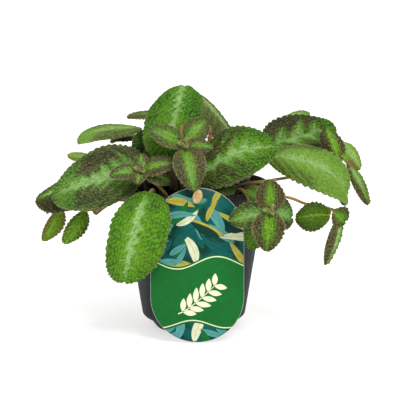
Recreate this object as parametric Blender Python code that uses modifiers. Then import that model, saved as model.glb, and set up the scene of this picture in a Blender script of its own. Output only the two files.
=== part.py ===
"""Flame violet in its grower pot, with a card pinned over the pot's rim.

Metres, +Z up. The origin is the middle of the pot's flat underside. The front of the plant, with
the card, faces -Y and +X is to its right. The tables of places below are in millimetres.

Every leaf blade is one curved surface. A smooth midrib runs through its named points. From it the
two halves reach out to the blade's widest points, scaled along the midrib by a rounded outline and
cut into blunt teeth at the rim.
"""
import math
from collections import namedtuple

import bmesh
import bpy
import numpy as np
from mathutils import Vector

MM = 0.001

# Pot, turned from one profile.
POT_HEIGHT = 116.5 * MM
POT_RIM_RADIUS = 60.5 * MM
POT_WALL = 1.2 * MM
LIP_HEIGHT = 5.0 * MM
LIP_OVERHANG = 1.9 * MM
LIP_EDGE = 0.5 * MM
LIP_FILLET = 2.0 * MM
SHOULDER_RADIUS = 41.2 * MM
SHOULDER_HEIGHT = 10.5 * MM
FOOT_RADIUS = 30.2 * MM
SHOULDER_RISE = 5.0 * MM
FOOT_HEIGHT = 7.0 * MM
FOOT_EDGE = 0.6 * MM
FLOOR_THICKNESS = 1.4 * MM
POT_STEPS = 36
DRAIN_HOLES = 8
DRAIN_SIDES = 10
DRAIN_DEPTH = 8.0 * MM
DRAIN_RADIUS = 1.8 * MM
DRAIN_RING_RADIUS = 22.0 * MM

# Soil, a low mound that fills the pot.
CLEARANCE = 0.3 * MM
SOIL_EDGE_HEIGHT = 107.5 * MM
SOIL_MOUND = 3.5 * MM
SOIL_LUMP = 1.1 * MM
SOIL_RINGS = 5
SOIL_FLOOR = 1.8 * MM
ROOT_DEPTH_HEIGHT = 100.0 * MM
ROOT_HOLE_TOP = 122.5 * MM
ROOT_HOLE_SIDES = 6

# Card and the wooden pin that holds it to the plant.
CARD_WIDTH = 73.5 * MM
CARD_TOP = 125.0 * MM
CARD_BOTTOM = 0.8 * MM
CARD_THICKNESS = 0.8 * MM
CARD_MIDDLE_X = 2.8 * MM
CARD_ARC_POINTS = 15
CARD_HOLE_REACH = 2.0 * MM
PIN_X = 3.0 * MM
PIN_HEAD_HEIGHT = 118.4 * MM
PIN_SHANK_RADIUS = 1.4 * MM
PIN_SHANK_LENGTH = 36.0 * MM
PIN_SHANK_SLOPE = math.radians(11.0)
PIN_SHANK_SIDES = 10
PIN_SHANK_INSET = 0.8 * MM
PIN_SHANK_RISE = 1.3 * MM
PIN_HEAD_WIDTH = 7.6 * MM
PIN_HEAD_LENGTH = 11.6 * MM
PIN_HEAD_THICKNESS = 2.6 * MM
PIN_HEAD_LEAN = math.radians(14.0)
PIN_HEAD_SIDES = 18
PIN_HEAD_EDGE = 0.5 * MM

# Blades and stalks.
BLADE_THICKNESS = 0.8 * MM
OUTLINE_POWER = 0.86
OUTLINE_ROUNDNESS = 0.62
WIDEST = 0.5 ** (1.0 / OUTLINE_POWER)
FIRST_STATION = 0.012
LAST_STATION = 0.99
STATION_EASE = 0.62
NOTCH = 0.065
DOME = 0.10
MANY_TEETH = 8
STALK_RADIUS = 1.35 * MM
STALK_TAPER = 0.85
STALK_END_RADIUS = 0.75 * MM
STALK_REACH = 0.14
STALK_SINK = 0.45
STALK_BOW = 0.38
STALK_STEPS = 4
STALK_CLEAR_OF_SOIL = 1.5
STEM_TAPER = 0.8
JOINT_TAPER = 0.7
HUB_RADIUS = 2.4 * MM
LEAFLET_START = 1.2
LEAFLET_LAYER = 0.03
LEAFLET_CUP = 0.06
WELD_DISTANCE = 0.002 * MM
SHARP_ANGLE = math.radians(40.0)

Blade = namedtuple("Blade", "midrib right left teeth roundness", defaults=[OUTLINE_ROUNDNESS])
Leaf = namedtuple("Leaf", "root blade")
Leaflet = namedtuple("Leaflet", "angle length width lift droop teeth")
Sprig = namedtuple("Sprig", "stem blades rosettes")
Rosette = namedtuple("Rosette", "centre facing leaflets")

# Large leaves: the place in the soil, then the midrib from stalk to tip, the widest points and
# the number of teeth along each side. Right and left are as seen from above, looking to the tip.
LEAVES = {
    "leaf_top": Leaf((-8, 6), Blade(
        [(-5, 32, 182), (-9, 8, 191), (-15, -22, 172), (-25, -37, 147)],
        (-38, -11, 172), (6, -8, 174), 13, 0.55)),
    "leaf_top_folded": Leaf((9, 22), Blade(
        [(2, 45, 181), (18, 42, 166), (34, 36, 143)], (6, 32, 156), (20, 51, 164), 8)),
    "leaf_upper_left": Leaf((-18, 2), Blade(
        [(-41, 8, 158), (-68, 2, 158), (-91, -7, 151)], (-77, 18, 158), (-76, -20, 154), 9)),
    "leaf_left_sliver": Leaf((-16, 12), Blade(
        [(-42, 22, 148), (-55, 24, 149), (-67, 24, 145)], (-55, 38, 148), (-54, 10, 149), 6)),
    "leaf_back_left_high": Leaf((-10, 22), Blade(
        [(-21, 34, 163), (-38, 42, 164), (-54, 48, 161)], (-39, 54, 164), (-39, 30, 163), 6)),
    "leaf_inner_dark": Leaf((-14, -8), Blade(
        [(-28, -6, 141), (-37, -9, 150), (-46, -12, 158)], (-29, -7, 160), (-46, -14, 142), 6)),
    "leaf_inner_middle": Leaf((-8, -10), Blade(
        [(-8, -12, 132), (-20, -17, 143), (-32, -22, 151)], (-14, -18, 153), (-38, -19, 136),
        6)),
    "leaf_left_large": Leaf((-26, -18), Blade(
        [(-34, -30, 133), (-72, -42, 128), (-111, -48, 116)], (-69, -24, 152), (-75, -58, 107), 14)),
    "leaf_left_under": Leaf((-38, -2), Blade(
        [(-70, 0, 121), (-99, -12, 116), (-125, -18, 106)], (-98, 12, 118), (-101, -28, 99), 8)),
    "leaf_left_back": Leaf((-30, 18), Blade(
        [(-68, 36, 123), (-87, 46, 127), (-103, 54, 128)], (-88, 60, 127), (-88, 38, 124), 6)),
    "leaf_front_hanging": Leaf((-31, -38), Blade(
        [(-35, -59, 120.5), (-43, -73, 104), (-50, -78, 76), (-54, -75, 53)],
        (-67, -66, 90), (-20, -74, 88), 13, 0.54)),
    "leaf_right_large": Leaf((11, -20), Blade(
        [(3, -39, 128), (34, -48, 149), (65, -44, 154)], (34, -62, 130), (24, -29, 165), 13, 0.52)),
    "leaf_right_back": Leaf((27, 14), Blade(
        [(55, 28, 140), (84, 26, 149), (113, 16, 160)],
        (92, 8, 133), (72, 42, 163), 13, 0.52)),
    "leaf_right_back_tip": Leaf((22, 28), Blade(
        [(58, 48, 147), (77, 56, 158), (94, 62, 161)], (79, 46, 155), (79, 67, 160), 6)),
    "leaf_right_silver": Leaf((42, -10), Blade(
        [(57, -6, 140), (85, -22, 139), (111, -28, 127), (116, -24, 106)],
        (99, -42, 118), (105, -6, 144), 13)),
    "leaf_behind_card": Leaf((15, -38), Blade(
        [(11, -38, 124), (22, -45, 124), (33, -49, 120)], (20, -55, 118.5), (24, -40, 130), 6)),
    "leaf_back_high": Leaf((-4, 26), Blade(
        [(-12, 40, 152), (-18, 62, 160), (-22, 86, 148)], (0, 64, 156), (-37, 60, 156), 7)),
    "leaf_back_middle": Leaf((-6, 38), Blade(
        [(-8, 54, 128), (-14, 84, 133), (-20, 112, 112)], (9, 86, 125), (-36, 80, 127), 7)),
    "leaf_back_left": Leaf((-26, 30), Blade(
        [(-46, 52, 123), (-66, 70, 121), (-86, 84, 103)], (-52, 88, 112), (-80, 52, 114), 7)),
    "leaf_back_right": Leaf((16, 38), Blade(
        [(28, 52, 131), (40, 76, 134), (46, 100, 117)], (60, 70, 126), (20, 82, 128), 7)),
}

# Leafy stems: the stem's route from the soil, single blades on it, and rosettes of leaflets.
# A leaflet is its angle clockwise from up, its length and width, its lift out of the rosette's
# face in degrees, its droop as a share of its length and its teeth along each side.
SPRIGS = {
    "stem_crown_rosette": Sprig(
        [(-9, -30, 112), (-10, -38, 130), (-8, -46, 147), (-7, -51, 155)],
        [],
        [Rosette((-7, -52, 156), (0.0, -0.80, 0.60), [
            Leaflet(-65, 30, 18, 10, 0.10, 6),
            Leaflet(97, 21, 13, 12, 0.12, 5),
            Leaflet(168, 36, 25, -2, 0.10, 7),
            Leaflet(33, 29, 21, -4, 0.10, 6),
            Leaflet(-20, 11, 7, 26, 0.0, 4)])]),
    "stem_left_rosette": Sprig(
        [(-20, -42, 112), (-25, -45, 120), (-33, -49, 129), (-40, -50, 134)],
        [],
        [Rosette((-41, -50, 135), (0.0, -0.75, 0.66), [
            Leaflet(78, 26, 17, 14, 0.12, 5),
            Leaflet(0, 13, 12, 25, 0.10, 4),
            Leaflet(-102, 24, 14, 12, 0.12, 5),
            Leaflet(-168, 14, 11, 25, 0.10, 4),
            Leaflet(97, 24, 15, -22, 0.05, 5)])]),
    "stem_front_right_rosette": Sprig(
        [(31, -33, 112), (36, -43, 120), (41, -52, 118.5), (45, -62, 112.5), (51, -70, 110),
         (58, -76, 109.5)],
        [],
        [Rosette((59, -76, 109), (0.08, -0.90, 0.42), [
            Leaflet(2, 23, 24, 12, 0.08, 7),
            Leaflet(187, 31, 25, 8, 0.10, 7),
            Leaflet(260, 31, 21, -6, 0.10, 7),
            Leaflet(92, 25, 25, -38, 0.10, 6),
            Leaflet(212, 33, 22, -25, 0.05, 6),
            Leaflet(-32, 30, 12, -28, 0.05, 5)])]),
    "runner_left": Sprig(
        [(-44, -18, 112), (-55, -22, 121), (-68, -18, 110), (-82, -10, 97), (-94, -6, 97),
         (-105, -6, 99)],
        [Blade([(-106, -9, 98), (-112, -15, 86), (-120, -14, 72)],
               (-104, -17, 84), (-118, -10, 86), 6),
         Blade([(-86, -11, 96), (-95, -18, 84), (-104, -16, 71)],
               (-101, -16, 86), (-87, -16, 79), 6)],
        [Rosette((-105, -6, 99), (-0.5, 0.2, 0.84), [
            Leaflet(40, 15, 10, 10, 0.1, 4),
            Leaflet(150, 13, 9, 10, 0.1, 4)])]),
    "runner_right_high": Sprig(
        [(28, -30, 112), (38, -28, 120.5), (60, -20, 122.5), (83, -10, 124.5), (104, -2, 129),
         (119, 2, 136)],
        [Blade([(116, 4, 149), (125, 7, 140), (133, 4, 127)], (120, -1, 134), (129, 13, 142), 5),
         Blade([(122, 1, 133), (131, -2, 118), (139, -4, 100)], (128, -7, 113), (136, 3, 117), 6),
         Blade([(116, 0, 137), (112, -3, 149), (106, 0, 161)], (120, 1, 148), (101, -1, 149), 5)],
        []),
    "runner_right_low": Sprig(
        [(36, -24, 112), (47, -36, 121), (62, -46, 117), (77, -44, 113), (88, -38, 107.5),
         (101, -36, 105), (113, -35, 101)],
        [Blade([(107, -40, 99), (93, -47, 100), (80, -48, 98)], (94, -42, 109), (93, -51, 88), 7),
         Blade([(115, -34, 94), (112, -38, 77), (104, -38, 58)], (105, -44, 80), (116, -28, 78), 7),
         Blade([(110, -37, 101), (115, -35, 97), (120, -31, 92)], (111, -37, 89), (121, -33, 103),
               4)],
        []),
    "runner_back": Sprig(
        [(8, 44, 112), (10, 56, 121), (11, 72, 113), (10, 83, 97)],
        [],
        [Rosette((10, 84, 96), (0.1, 0.88, 0.46), [
            Leaflet(20, 24, 18, 10, 0.1, 5),
            Leaflet(110, 26, 18, 6, 0.1, 5),
            Leaflet(200, 30, 20, 10, 0.1, 6),
            Leaflet(290, 25, 18, 6, 0.1, 5)])]),
    "runner_back_left": Sprig(
        [(-36, 26, 112), (-47, 36, 121), (-57, 51, 112), (-62, 61, 97)],
        [],
        [Rosette((-63, 62, 96), (-0.5, 0.7, 0.5), [
            Leaflet(60, 22, 16, 8, 0.1, 5),
            Leaflet(150, 25, 18, 8, 0.1, 5),
            Leaflet(240, 22, 16, 8, 0.1, 5),
            Leaflet(330, 18, 14, 8, 0.1, 5)])]),
}

LEAF_GREEN = (0.10, 0.27, 0.035)
LEAF_DARK = (0.085, 0.115, 0.035)
SOIL_BROWN = (0.030, 0.018, 0.010)
POT_GREY = (0.060, 0.066, 0.072)
CARD_GREEN = (0.02, 0.23, 0.07)
PIN_WOOD = (0.72, 0.50, 0.24)


def clear_scene():
    """Remove the objects that the file holds before the part is made."""
    for obj in list(bpy.data.objects):
        bpy.data.objects.remove(obj, do_unlink=True)


def make_collection(name):
    """A new collection in the scene, for the parts or for the cutters."""
    collection = bpy.data.collections.new(name)
    bpy.context.scene.collection.children.link(collection)
    return collection


def make_material(name, colour, roughness):
    """A plain Principled material."""
    material = bpy.data.materials.new(name)
    material.use_nodes = True
    shader = material.node_tree.nodes["Principled BSDF"]
    shader.inputs["Base Color"].default_value = (*colour, 1.0)
    shader.inputs["Roughness"].default_value = roughness
    shader.inputs["Metallic"].default_value = 0.0
    return material


def mesh_object(name, points, faces, collection):
    """An object from points in metres and faces."""
    mesh = bpy.data.meshes.new(name)
    mesh.from_pydata([tuple(point) for point in points], [], faces)
    mesh.update()
    obj = bpy.data.objects.new(name, mesh)
    collection.objects.link(obj)
    return obj


def bake_shape(obj):
    """Replace an object by the closed mesh that its curve or modifiers make."""
    graph = bpy.context.evaluated_depsgraph_get()
    mesh = bpy.data.meshes.new_from_object(obj.evaluated_get(graph))
    work = bmesh.new()
    work.from_mesh(mesh)
    bmesh.ops.remove_doubles(work, verts=work.verts, dist=WELD_DISTANCE)
    work.to_mesh(mesh)
    work.free()
    baked = bpy.data.objects.new(obj.name, mesh)
    baked.matrix_world = obj.matrix_world
    home = obj.users_collection[0]
    name = obj.name
    bpy.data.objects.remove(obj, do_unlink=True)
    home.objects.link(baked)
    baked.name = name
    mesh.name = name
    return baked


def boolean(target, operand, operation, solver="EXACT"):
    """Join or cut the target with every object of a collection, and drop those objects."""
    modifier = target.modifiers.new(operation.title(), "BOOLEAN")
    modifier.operation = operation
    modifier.operand_type = "COLLECTION"
    modifier.collection = operand
    modifier.solver = solver
    baked = bake_shape(target)
    for tool in list(operand.objects):
        bpy.data.objects.remove(tool, do_unlink=True)
    bpy.data.collections.remove(operand)
    return baked


def largest_body(obj):
    """Keep the biggest closed body of a joined solid and drop scraps and sealed hollows."""
    work = bmesh.new()
    work.from_mesh(obj.data)
    unseen = set(work.faces)
    bodies = []
    while unseen:
        body = set()
        waiting = [unseen.pop()]
        while waiting:
            face = waiting.pop()
            body.add(face)
            for edge in face.edges:
                for other in edge.link_faces:
                    if other in unseen:
                        unseen.remove(other)
                        waiting.append(other)
        bodies.append(body)
    bodies.sort(key=len)
    scraps = set().union(*bodies[:-1])
    bmesh.ops.delete(work, geom=list(scraps), context="FACES")
    work.to_mesh(obj.data)
    work.free()
    return obj


def turned(name, profile, steps, collection):
    """A shape of revolution from a profile of (radius, height) points."""
    points = [(radius, 0.0, height) for radius, height in profile]
    edges = [(i, i + 1) for i in range(len(profile) - 1)]
    mesh = bpy.data.meshes.new(name)
    mesh.from_pydata(points, edges, [])
    obj = bpy.data.objects.new(name, mesh)
    collection.objects.link(obj)
    screw = obj.modifiers.new("Turn", "SCREW")
    screw.axis = "Z"
    screw.angle = math.tau
    screw.steps = steps
    screw.render_steps = steps
    screw.use_merge_vertices = True
    screw.merge_threshold = 0.01 * MM
    return bake_shape(obj)


def wall_radius(height):
    """Outer radius of the pot's sloping wall at a height."""
    top = POT_RIM_RADIUS - LIP_OVERHANG
    share = (height - SHOULDER_HEIGHT) / (POT_HEIGHT - SHOULDER_HEIGHT)
    return SHOULDER_RADIUS + (top - SHOULDER_RADIUS) * share


def make_pot(collection):
    """Thin wall with a turned lip, a rounded shoulder, a stepped foot and drain holes."""
    lip_base = POT_HEIGHT - LIP_HEIGHT
    wall_base = SHOULDER_HEIGHT + SHOULDER_RISE
    inner_foot = FOOT_RADIUS - POT_WALL
    profile = [
        (0.0, FLOOR_THICKNESS),
        (inner_foot, FLOOR_THICKNESS),
        (inner_foot + FOOT_EDGE, FOOT_HEIGHT + 0.9 * MM),
        (SHOULDER_RADIUS - 4.0 * MM, FOOT_HEIGHT + 2.2 * MM),
        (wall_radius(wall_base) - POT_WALL, wall_base),
        (wall_radius(POT_HEIGHT) - POT_WALL, POT_HEIGHT),
        (POT_RIM_RADIUS - LIP_EDGE, POT_HEIGHT),
        (POT_RIM_RADIUS, POT_HEIGHT - LIP_EDGE),
        (POT_RIM_RADIUS, lip_base),
        (wall_radius(lip_base) + LIP_EDGE, lip_base - LIP_EDGE),
        (wall_radius(lip_base - LIP_FILLET), lip_base - LIP_FILLET),
        (wall_radius(SHOULDER_HEIGHT + 4.0 * MM), SHOULDER_HEIGHT + 4.0 * MM),
        (SHOULDER_RADIUS - 0.9 * MM, SHOULDER_HEIGHT - 0.6 * MM),
        (SHOULDER_RADIUS - 3.0 * MM, FOOT_HEIGHT + 1.0 * MM),
        (FOOT_RADIUS + 2.0 * MM, FOOT_HEIGHT),
        (FOOT_RADIUS + 0.8 * MM, FOOT_HEIGHT - 1.4 * MM),
        (FOOT_RADIUS, FOOT_EDGE),
        (FOOT_RADIUS - FOOT_EDGE, 0.0),
        (0.0, 0.0),
    ]
    pot = turned("pot", profile, POT_STEPS, collection)
    cutters = make_collection("drain_cutters")
    for index in range(DRAIN_HOLES):
        angle = math.tau * (index + 0.5) / DRAIN_HOLES
        bpy.ops.mesh.primitive_cylinder_add(
            vertices=DRAIN_SIDES, radius=DRAIN_RADIUS, depth=DRAIN_DEPTH,
            location=(DRAIN_RING_RADIUS * math.cos(angle), DRAIN_RING_RADIUS * math.sin(angle), 0))
        move_to(bpy.context.object, cutters)
    return boolean(pot, cutters, "DIFFERENCE")


def move_to(obj, collection):
    """Take an object out of its collections and put it in one."""
    for home in list(obj.users_collection):
        home.objects.unlink(obj)
    collection.objects.link(obj)


def soil_height(x, y):
    """Height of the soil's lumpy mound above a place in the pot."""
    reach = wall_radius(SOIL_EDGE_HEIGHT)
    radius = np.hypot(x, y) / reach
    mound = SOIL_MOUND * (1.0 - radius ** 2)
    lumps = np.sin(x / MM * 0.23 + 1.3) * np.cos(y / MM * 0.19 + 0.4)
    fine = np.sin(x / MM * 0.51 + y / MM * 0.37)
    return SOIL_EDGE_HEIGHT + mound + SOIL_LUMP * (0.65 * lumps + 0.35 * fine) * (1.0 - radius ** 4)


def make_soil(roots, collection):
    """Mound of soil inside the pot, with a plain hole for each stalk and for the pin."""
    reach = wall_radius(SOIL_EDGE_HEIGHT) - POT_WALL - CLEARANCE
    wall_base = SHOULDER_HEIGHT + SHOULDER_RISE
    inner_foot = FOOT_RADIUS - POT_WALL - CLEARANCE
    profile = [(reach * ring / SOIL_RINGS, SOIL_EDGE_HEIGHT) for ring in range(SOIL_RINGS + 1)]
    profile += [
        (wall_radius(wall_base) - POT_WALL - CLEARANCE, wall_base),
        (SHOULDER_RADIUS - 5.2 * MM, SHOULDER_HEIGHT + 0.8 * MM),
        (inner_foot, FOOT_HEIGHT + 2.2 * MM),
        (inner_foot - FLOOR_THICKNESS, SOIL_FLOOR),
        (0.0, SOIL_FLOOR),
    ]
    soil = turned("potting_soil", profile, POT_STEPS, collection)
    mesh = soil.data
    points = np.empty(len(mesh.vertices) * 3)
    mesh.vertices.foreach_get("co", points)
    points = points.reshape(-1, 3)
    top = points[:, 2] > SOIL_EDGE_HEIGHT - 1e-6
    points[top, 2] = soil_height(points[top, 0], points[top, 1])
    mesh.vertices.foreach_set("co", points.ravel())
    mesh.update()
    cutters = make_collection("root_cutters")
    low = ROOT_DEPTH_HEIGHT - CLEARANCE
    flat_radius = (STALK_RADIUS + CLEARANCE) / math.cos(math.pi / ROOT_HOLE_SIDES)
    for x, y in roots:
        bpy.ops.mesh.primitive_cylinder_add(
            vertices=ROOT_HOLE_SIDES, radius=flat_radius, depth=ROOT_HOLE_TOP - low,
            location=(x * MM, y * MM, (ROOT_HOLE_TOP + low) / 2))
        move_to(bpy.context.object, cutters)
    shank = pin_shank("pin_cutter", PIN_SHANK_RADIUS + CLEARANCE, CLEARANCE)
    move_to(shank, cutters)
    return boolean(soil, cutters, "DIFFERENCE")


def card_plane():
    """Front of the rim's lip, where the back of the card hangs."""
    return -(POT_RIM_RADIUS + CLEARANCE)


def card_ring():
    """Outline of the card, a tall shape with half-round ends, as (x, z) points."""
    radius = CARD_WIDTH / 2
    low = CARD_BOTTOM + radius
    high = CARD_TOP - radius
    angles = np.linspace(0.0, math.pi, CARD_ARC_POINTS)
    top = [(CARD_MIDDLE_X + radius * math.cos(a), high + radius * math.sin(a)) for a in angles]
    foot = [(CARD_MIDDLE_X - radius * math.cos(a), low - radius * math.sin(a)) for a in angles]
    return top + foot


def make_card(collection):
    """Flat card with half-round ends, hung on the pin by a small hole."""
    curve = bpy.data.curves.new("care_card", "CURVE")
    curve.dimensions = "2D"
    curve.fill_mode = "BOTH"
    curve.extrude = CARD_THICKNESS / 2
    ring = card_ring()
    spline = curve.splines.new("POLY")
    spline.points.add(len(ring) - 1)
    for point, (x, z) in zip(spline.points, ring):
        point.co = (x, z, 0.0, 1.0)
    spline.use_cyclic_u = True
    card = bpy.data.objects.new("care_card", curve)
    collection.objects.link(card)
    card.rotation_euler = (math.radians(90.0), 0.0, 0.0)
    card.location = (0.0, card_plane() - CARD_THICKNESS / 2, 0.0)
    bpy.context.view_layer.update()
    card = bake_shape(card)
    bpy.context.view_layer.update()
    cutters = make_collection("card_cutters")
    hole = pin_shank("card_hole", PIN_SHANK_RADIUS + CLEARANCE, CARD_HOLE_REACH)
    move_to(hole, cutters)
    return boolean(card, cutters, "DIFFERENCE")


def pin_shank(name, radius, extra):
    """Round shank that slopes down from the card, over the rim and into the soil."""
    length = PIN_SHANK_LENGTH + 2.0 * extra
    bpy.ops.mesh.primitive_cylinder_add(vertices=PIN_SHANK_SIDES, radius=radius, depth=length)
    shank = bpy.context.object
    shank.name = name
    front = card_plane() - CARD_THICKNESS - CLEARANCE - PIN_SHANK_INSET
    middle = PIN_SHANK_LENGTH / 2
    shank.rotation_euler = (math.radians(90.0) - PIN_SHANK_SLOPE, 0.0, 0.0)
    shank.location = (
        PIN_X,
        front + middle * math.cos(PIN_SHANK_SLOPE),
        PIN_HEAD_HEIGHT + PIN_SHANK_RISE - middle * math.sin(PIN_SHANK_SLOPE))
    bpy.context.view_layer.update()
    return shank


def make_pin(collection):
    """Wooden pin: an oval head in front of the card on a thin sloping shank."""
    bpy.ops.mesh.primitive_cylinder_add(vertices=PIN_HEAD_SIDES, radius=0.5, depth=1.0)
    head = bpy.context.object
    head.name = "card_pin"
    head.scale = (PIN_HEAD_WIDTH, PIN_HEAD_LENGTH, PIN_HEAD_THICKNESS)
    bpy.ops.object.transform_apply(location=False, rotation=False, scale=True)
    rounding = head.modifiers.new("Round", "BEVEL")
    rounding.width = PIN_HEAD_EDGE
    rounding.segments = 1
    rounding.limit_method = "ANGLE"
    front = card_plane() - CARD_THICKNESS - CLEARANCE
    head.rotation_euler = (math.radians(90.0), PIN_HEAD_LEAN, 0.0)
    head.location = (PIN_X, front - PIN_HEAD_THICKNESS / 2, PIN_HEAD_HEIGHT)
    move_to(head, collection)
    bpy.context.view_layer.update()
    joined = make_collection("pin_pieces")
    move_to(pin_shank("shank", PIN_SHANK_RADIUS, 0.0), joined)
    return boolean(head, joined, "UNION")


def midrib_at(midrib, u):
    """Smooth curve through the midrib's points, spread evenly from stalk (0) to tip (1)."""
    knots = np.linspace(0.0, 1.0, len(midrib))
    total = np.zeros((len(u), 3))
    for i, point in enumerate(midrib):
        weight = np.ones(len(u))
        for j, knot in enumerate(knots):
            if j != i:
                weight *= (u - knot) / (knots[i] - knot)
        total += weight[:, None] * np.array(point, float)
    return total


def midrib_direction(midrib, u):
    """Unit direction of the midrib towards the tip."""
    step = 0.01
    along = midrib_at(midrib, u + step) - midrib_at(midrib, u - step)
    return along / np.linalg.norm(along, axis=1)[:, None]


def outline_share(u, roundness):
    """Half width of a blade along its midrib, as a share of its widest place."""
    return np.sin(math.pi * u ** OUTLINE_POWER) ** roundness


def blade_points(blade, u, across, notch):
    """Points of the blade in millimetres at u along it and across it, -1 left rim to 1 right.

    The point is the midrib's, plus the half's own reach times the outline, the share across and
    the notch, plus a dome that swells each half up between midrib and rim.
    """
    centre = midrib_at(blade.midrib, u)
    middle = midrib_at(blade.midrib, np.array([WIDEST]))[0]
    right = np.array(blade.right, float) - middle
    left = np.array(blade.left, float) - middle
    side = right if across > 0 else left
    outline = outline_share(u, blade.roundness)
    reach = abs(across) * outline * notch
    normal = np.cross(right - left, midrib_direction(blade.midrib, u))
    normal /= np.linalg.norm(normal, axis=1)[:, None]
    dome = DOME * np.linalg.norm(side) * outline * 4.0 * abs(across) * (1.0 - abs(across))
    return centre + reach[:, None] * side + dome[:, None] * normal


def blade_object(name, blade, collection):
    """One leaf blade as a closed solid of even thickness with blunt teeth."""
    count = 2 * blade.teeth
    share = FIRST_STATION + (LAST_STATION - FIRST_STATION) * np.linspace(0.0, 1.0, count + 1)
    u = share - STATION_EASE * np.sin(math.tau * share) / math.tau
    inner = u[::2]
    plain = np.ones(len(inner))
    notch = 1.0 + NOTCH * np.where(np.arange(count + 1) % 2 == 1, 1.0, -1.0) * 0.5
    inner_columns = [-0.5, 0.0, 0.5] if blade.teeth > MANY_TEETH else [0.0]
    columns = [blade_points(blade, u, -1.0, notch)]
    columns += [blade_points(blade, inner, across, plain) for across in inner_columns]
    columns += [blade_points(blade, u, 1.0, notch)]
    starts = np.cumsum([0] + [len(column) for column in columns])
    faces = []
    faces += fan_faces(starts[1], starts[0], blade.teeth, False)
    for index in range(1, len(columns) - 2):
        faces += strip_faces(starts[index], starts[index + 1], blade.teeth, index % 2 == 1)
    faces += fan_faces(starts[-3], starts[-2], blade.teeth, True)
    blade_mesh = mesh_object(name, np.concatenate(columns) * MM, faces, collection)
    thick = blade_mesh.modifiers.new("Thickness", "SOLIDIFY")
    thick.thickness = BLADE_THICKNESS
    thick.offset = 0.0
    return bake_shape(blade_mesh)


def fan_faces(inner, rim, teeth, rim_on_right):
    """Triangles between an inner column and a rim column with twice its stations."""
    faces = []
    for i in range(teeth):
        a, b = inner + i, inner + i + 1
        r, s, t = rim + 2 * i, rim + 2 * i + 1, rim + 2 * i + 2
        group = [(a, r, s), (a, s, b), (b, s, t)]
        faces += group if rim_on_right else [face[::-1] for face in group]
    return faces


def strip_faces(left, right, teeth, rising):
    """Triangles between two inner columns."""
    faces = []
    for i in range(teeth):
        a, b, c, d = left + i, right + i, right + i + 1, left + i + 1
        faces += [(a, b, c), (a, c, d)] if rising else [(a, b, d), (b, c, d)]
    return faces


def tube_object(name, points, radii, collection):
    """A stalk or stem: a round tube along points in millimetres."""
    curve = bpy.data.curves.new(name, "CURVE")
    curve.dimensions = "3D"
    curve.bevel_depth = STALK_RADIUS
    curve.bevel_resolution = 1
    curve.use_fill_caps = True
    spline = curve.splines.new("POLY")
    spline.points.add(len(points) - 1)
    for point, place, radius in zip(spline.points, points, radii):
        point.co = (*(np.array(place, float) * MM), 1.0)
        point.radius = radius / STALK_RADIUS
    obj = bpy.data.objects.new(name, curve)
    collection.objects.link(obj)
    return bake_shape(obj)


def leaf_stalk_path(leaf):
    """Stalk from the bottom of its hole, up out of the soil and under the start of the midrib."""
    x, y = leaf.root
    foot = np.array([x, y, ROOT_DEPTH_HEIGHT / MM])
    top = soil_height(x * MM, y * MM) / MM + STALK_CLEAR_OF_SOIL
    start = np.array([x, y, top])
    end = np.array(leaf.blade.midrib[0], float)
    direction = midrib_direction(leaf.blade.midrib, np.array([0.02]))[0]
    bow = STALK_BOW * np.linalg.norm(end - start)
    return [foot] + curve_between(start, end, direction, bow) + under_midrib(leaf.blade)


def curve_between(start, end, direction, bow):
    """Bezier curve that leaves the soil upwards and meets the blade along its midrib."""
    lift = start + np.array([0.0, 0.0, bow])
    lead = end - direction * bow
    points = []
    for t in np.linspace(0.0, 1.0, STALK_STEPS):
        point = (1 - t) ** 3 * start + 3 * t * (1 - t) ** 2 * lift
        points.append(point + 3 * t ** 2 * (1 - t) * lead + t ** 3 * end)
    return points


def under_midrib(blade):
    """Last point of a stalk, a little way along the blade and just below its midrib."""
    spot = np.array([STALK_REACH])
    side = np.array(blade.right, float) - np.array(blade.left, float)
    normal = np.cross(side, midrib_direction(blade.midrib, spot)[0])
    normal /= np.linalg.norm(normal)
    return [midrib_at(blade.midrib, spot)[0] - STALK_SINK * normal]


def make_leaf(name, leaf, collection):
    """A leaf with its stalk, as one solid."""
    pieces = make_collection(name + "_pieces")
    path = leaf_stalk_path(leaf)
    radii = np.linspace(STALK_RADIUS, STALK_RADIUS * STALK_TAPER, len(path) - 1).tolist()
    stalk = tube_object(name, path, radii + [STALK_END_RADIUS], collection)
    blade_object("blade", leaf.blade, pieces)
    return largest_body(boolean(stalk, pieces, "UNION", "MANIFOLD"))


def leaflet_blade(rosette, leaflet):
    """Blade of a rosette's leaflet, from its angle, size, lift and droop."""
    facing = Vector(rosette.facing).normalized()
    right = Vector((0, 0, 1)).cross(facing).normalized() if abs(facing.z) < 0.99 else Vector((1, 0, 0))
    up = facing.cross(right)
    angle = math.radians(leaflet.angle)
    flat = right * math.sin(angle) + up * math.cos(angle)
    lift = math.radians(leaflet.lift)
    along = flat * math.cos(lift) + facing * math.sin(lift)
    above = facing * math.cos(lift) - flat * math.sin(lift)
    side = along.cross(above)
    centre = Vector(rosette.centre) + facing * (LEAFLET_LAYER * leaflet.lift)
    start = centre + along * LEAFLET_START
    droop = leaflet.droop * leaflet.length
    middle = start + along * (0.5 * leaflet.length) + above * (0.5 * droop)
    tip = start + along * leaflet.length - above * droop
    half = side * (0.5 * leaflet.width)
    wide = midrib_at([start, middle, tip], np.array([WIDEST]))[0]
    wide = Vector(wide) + above * (LEAFLET_CUP * leaflet.width)
    return Blade([start, middle, tip], wide + half, wide - half, leaflet.teeth)


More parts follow.
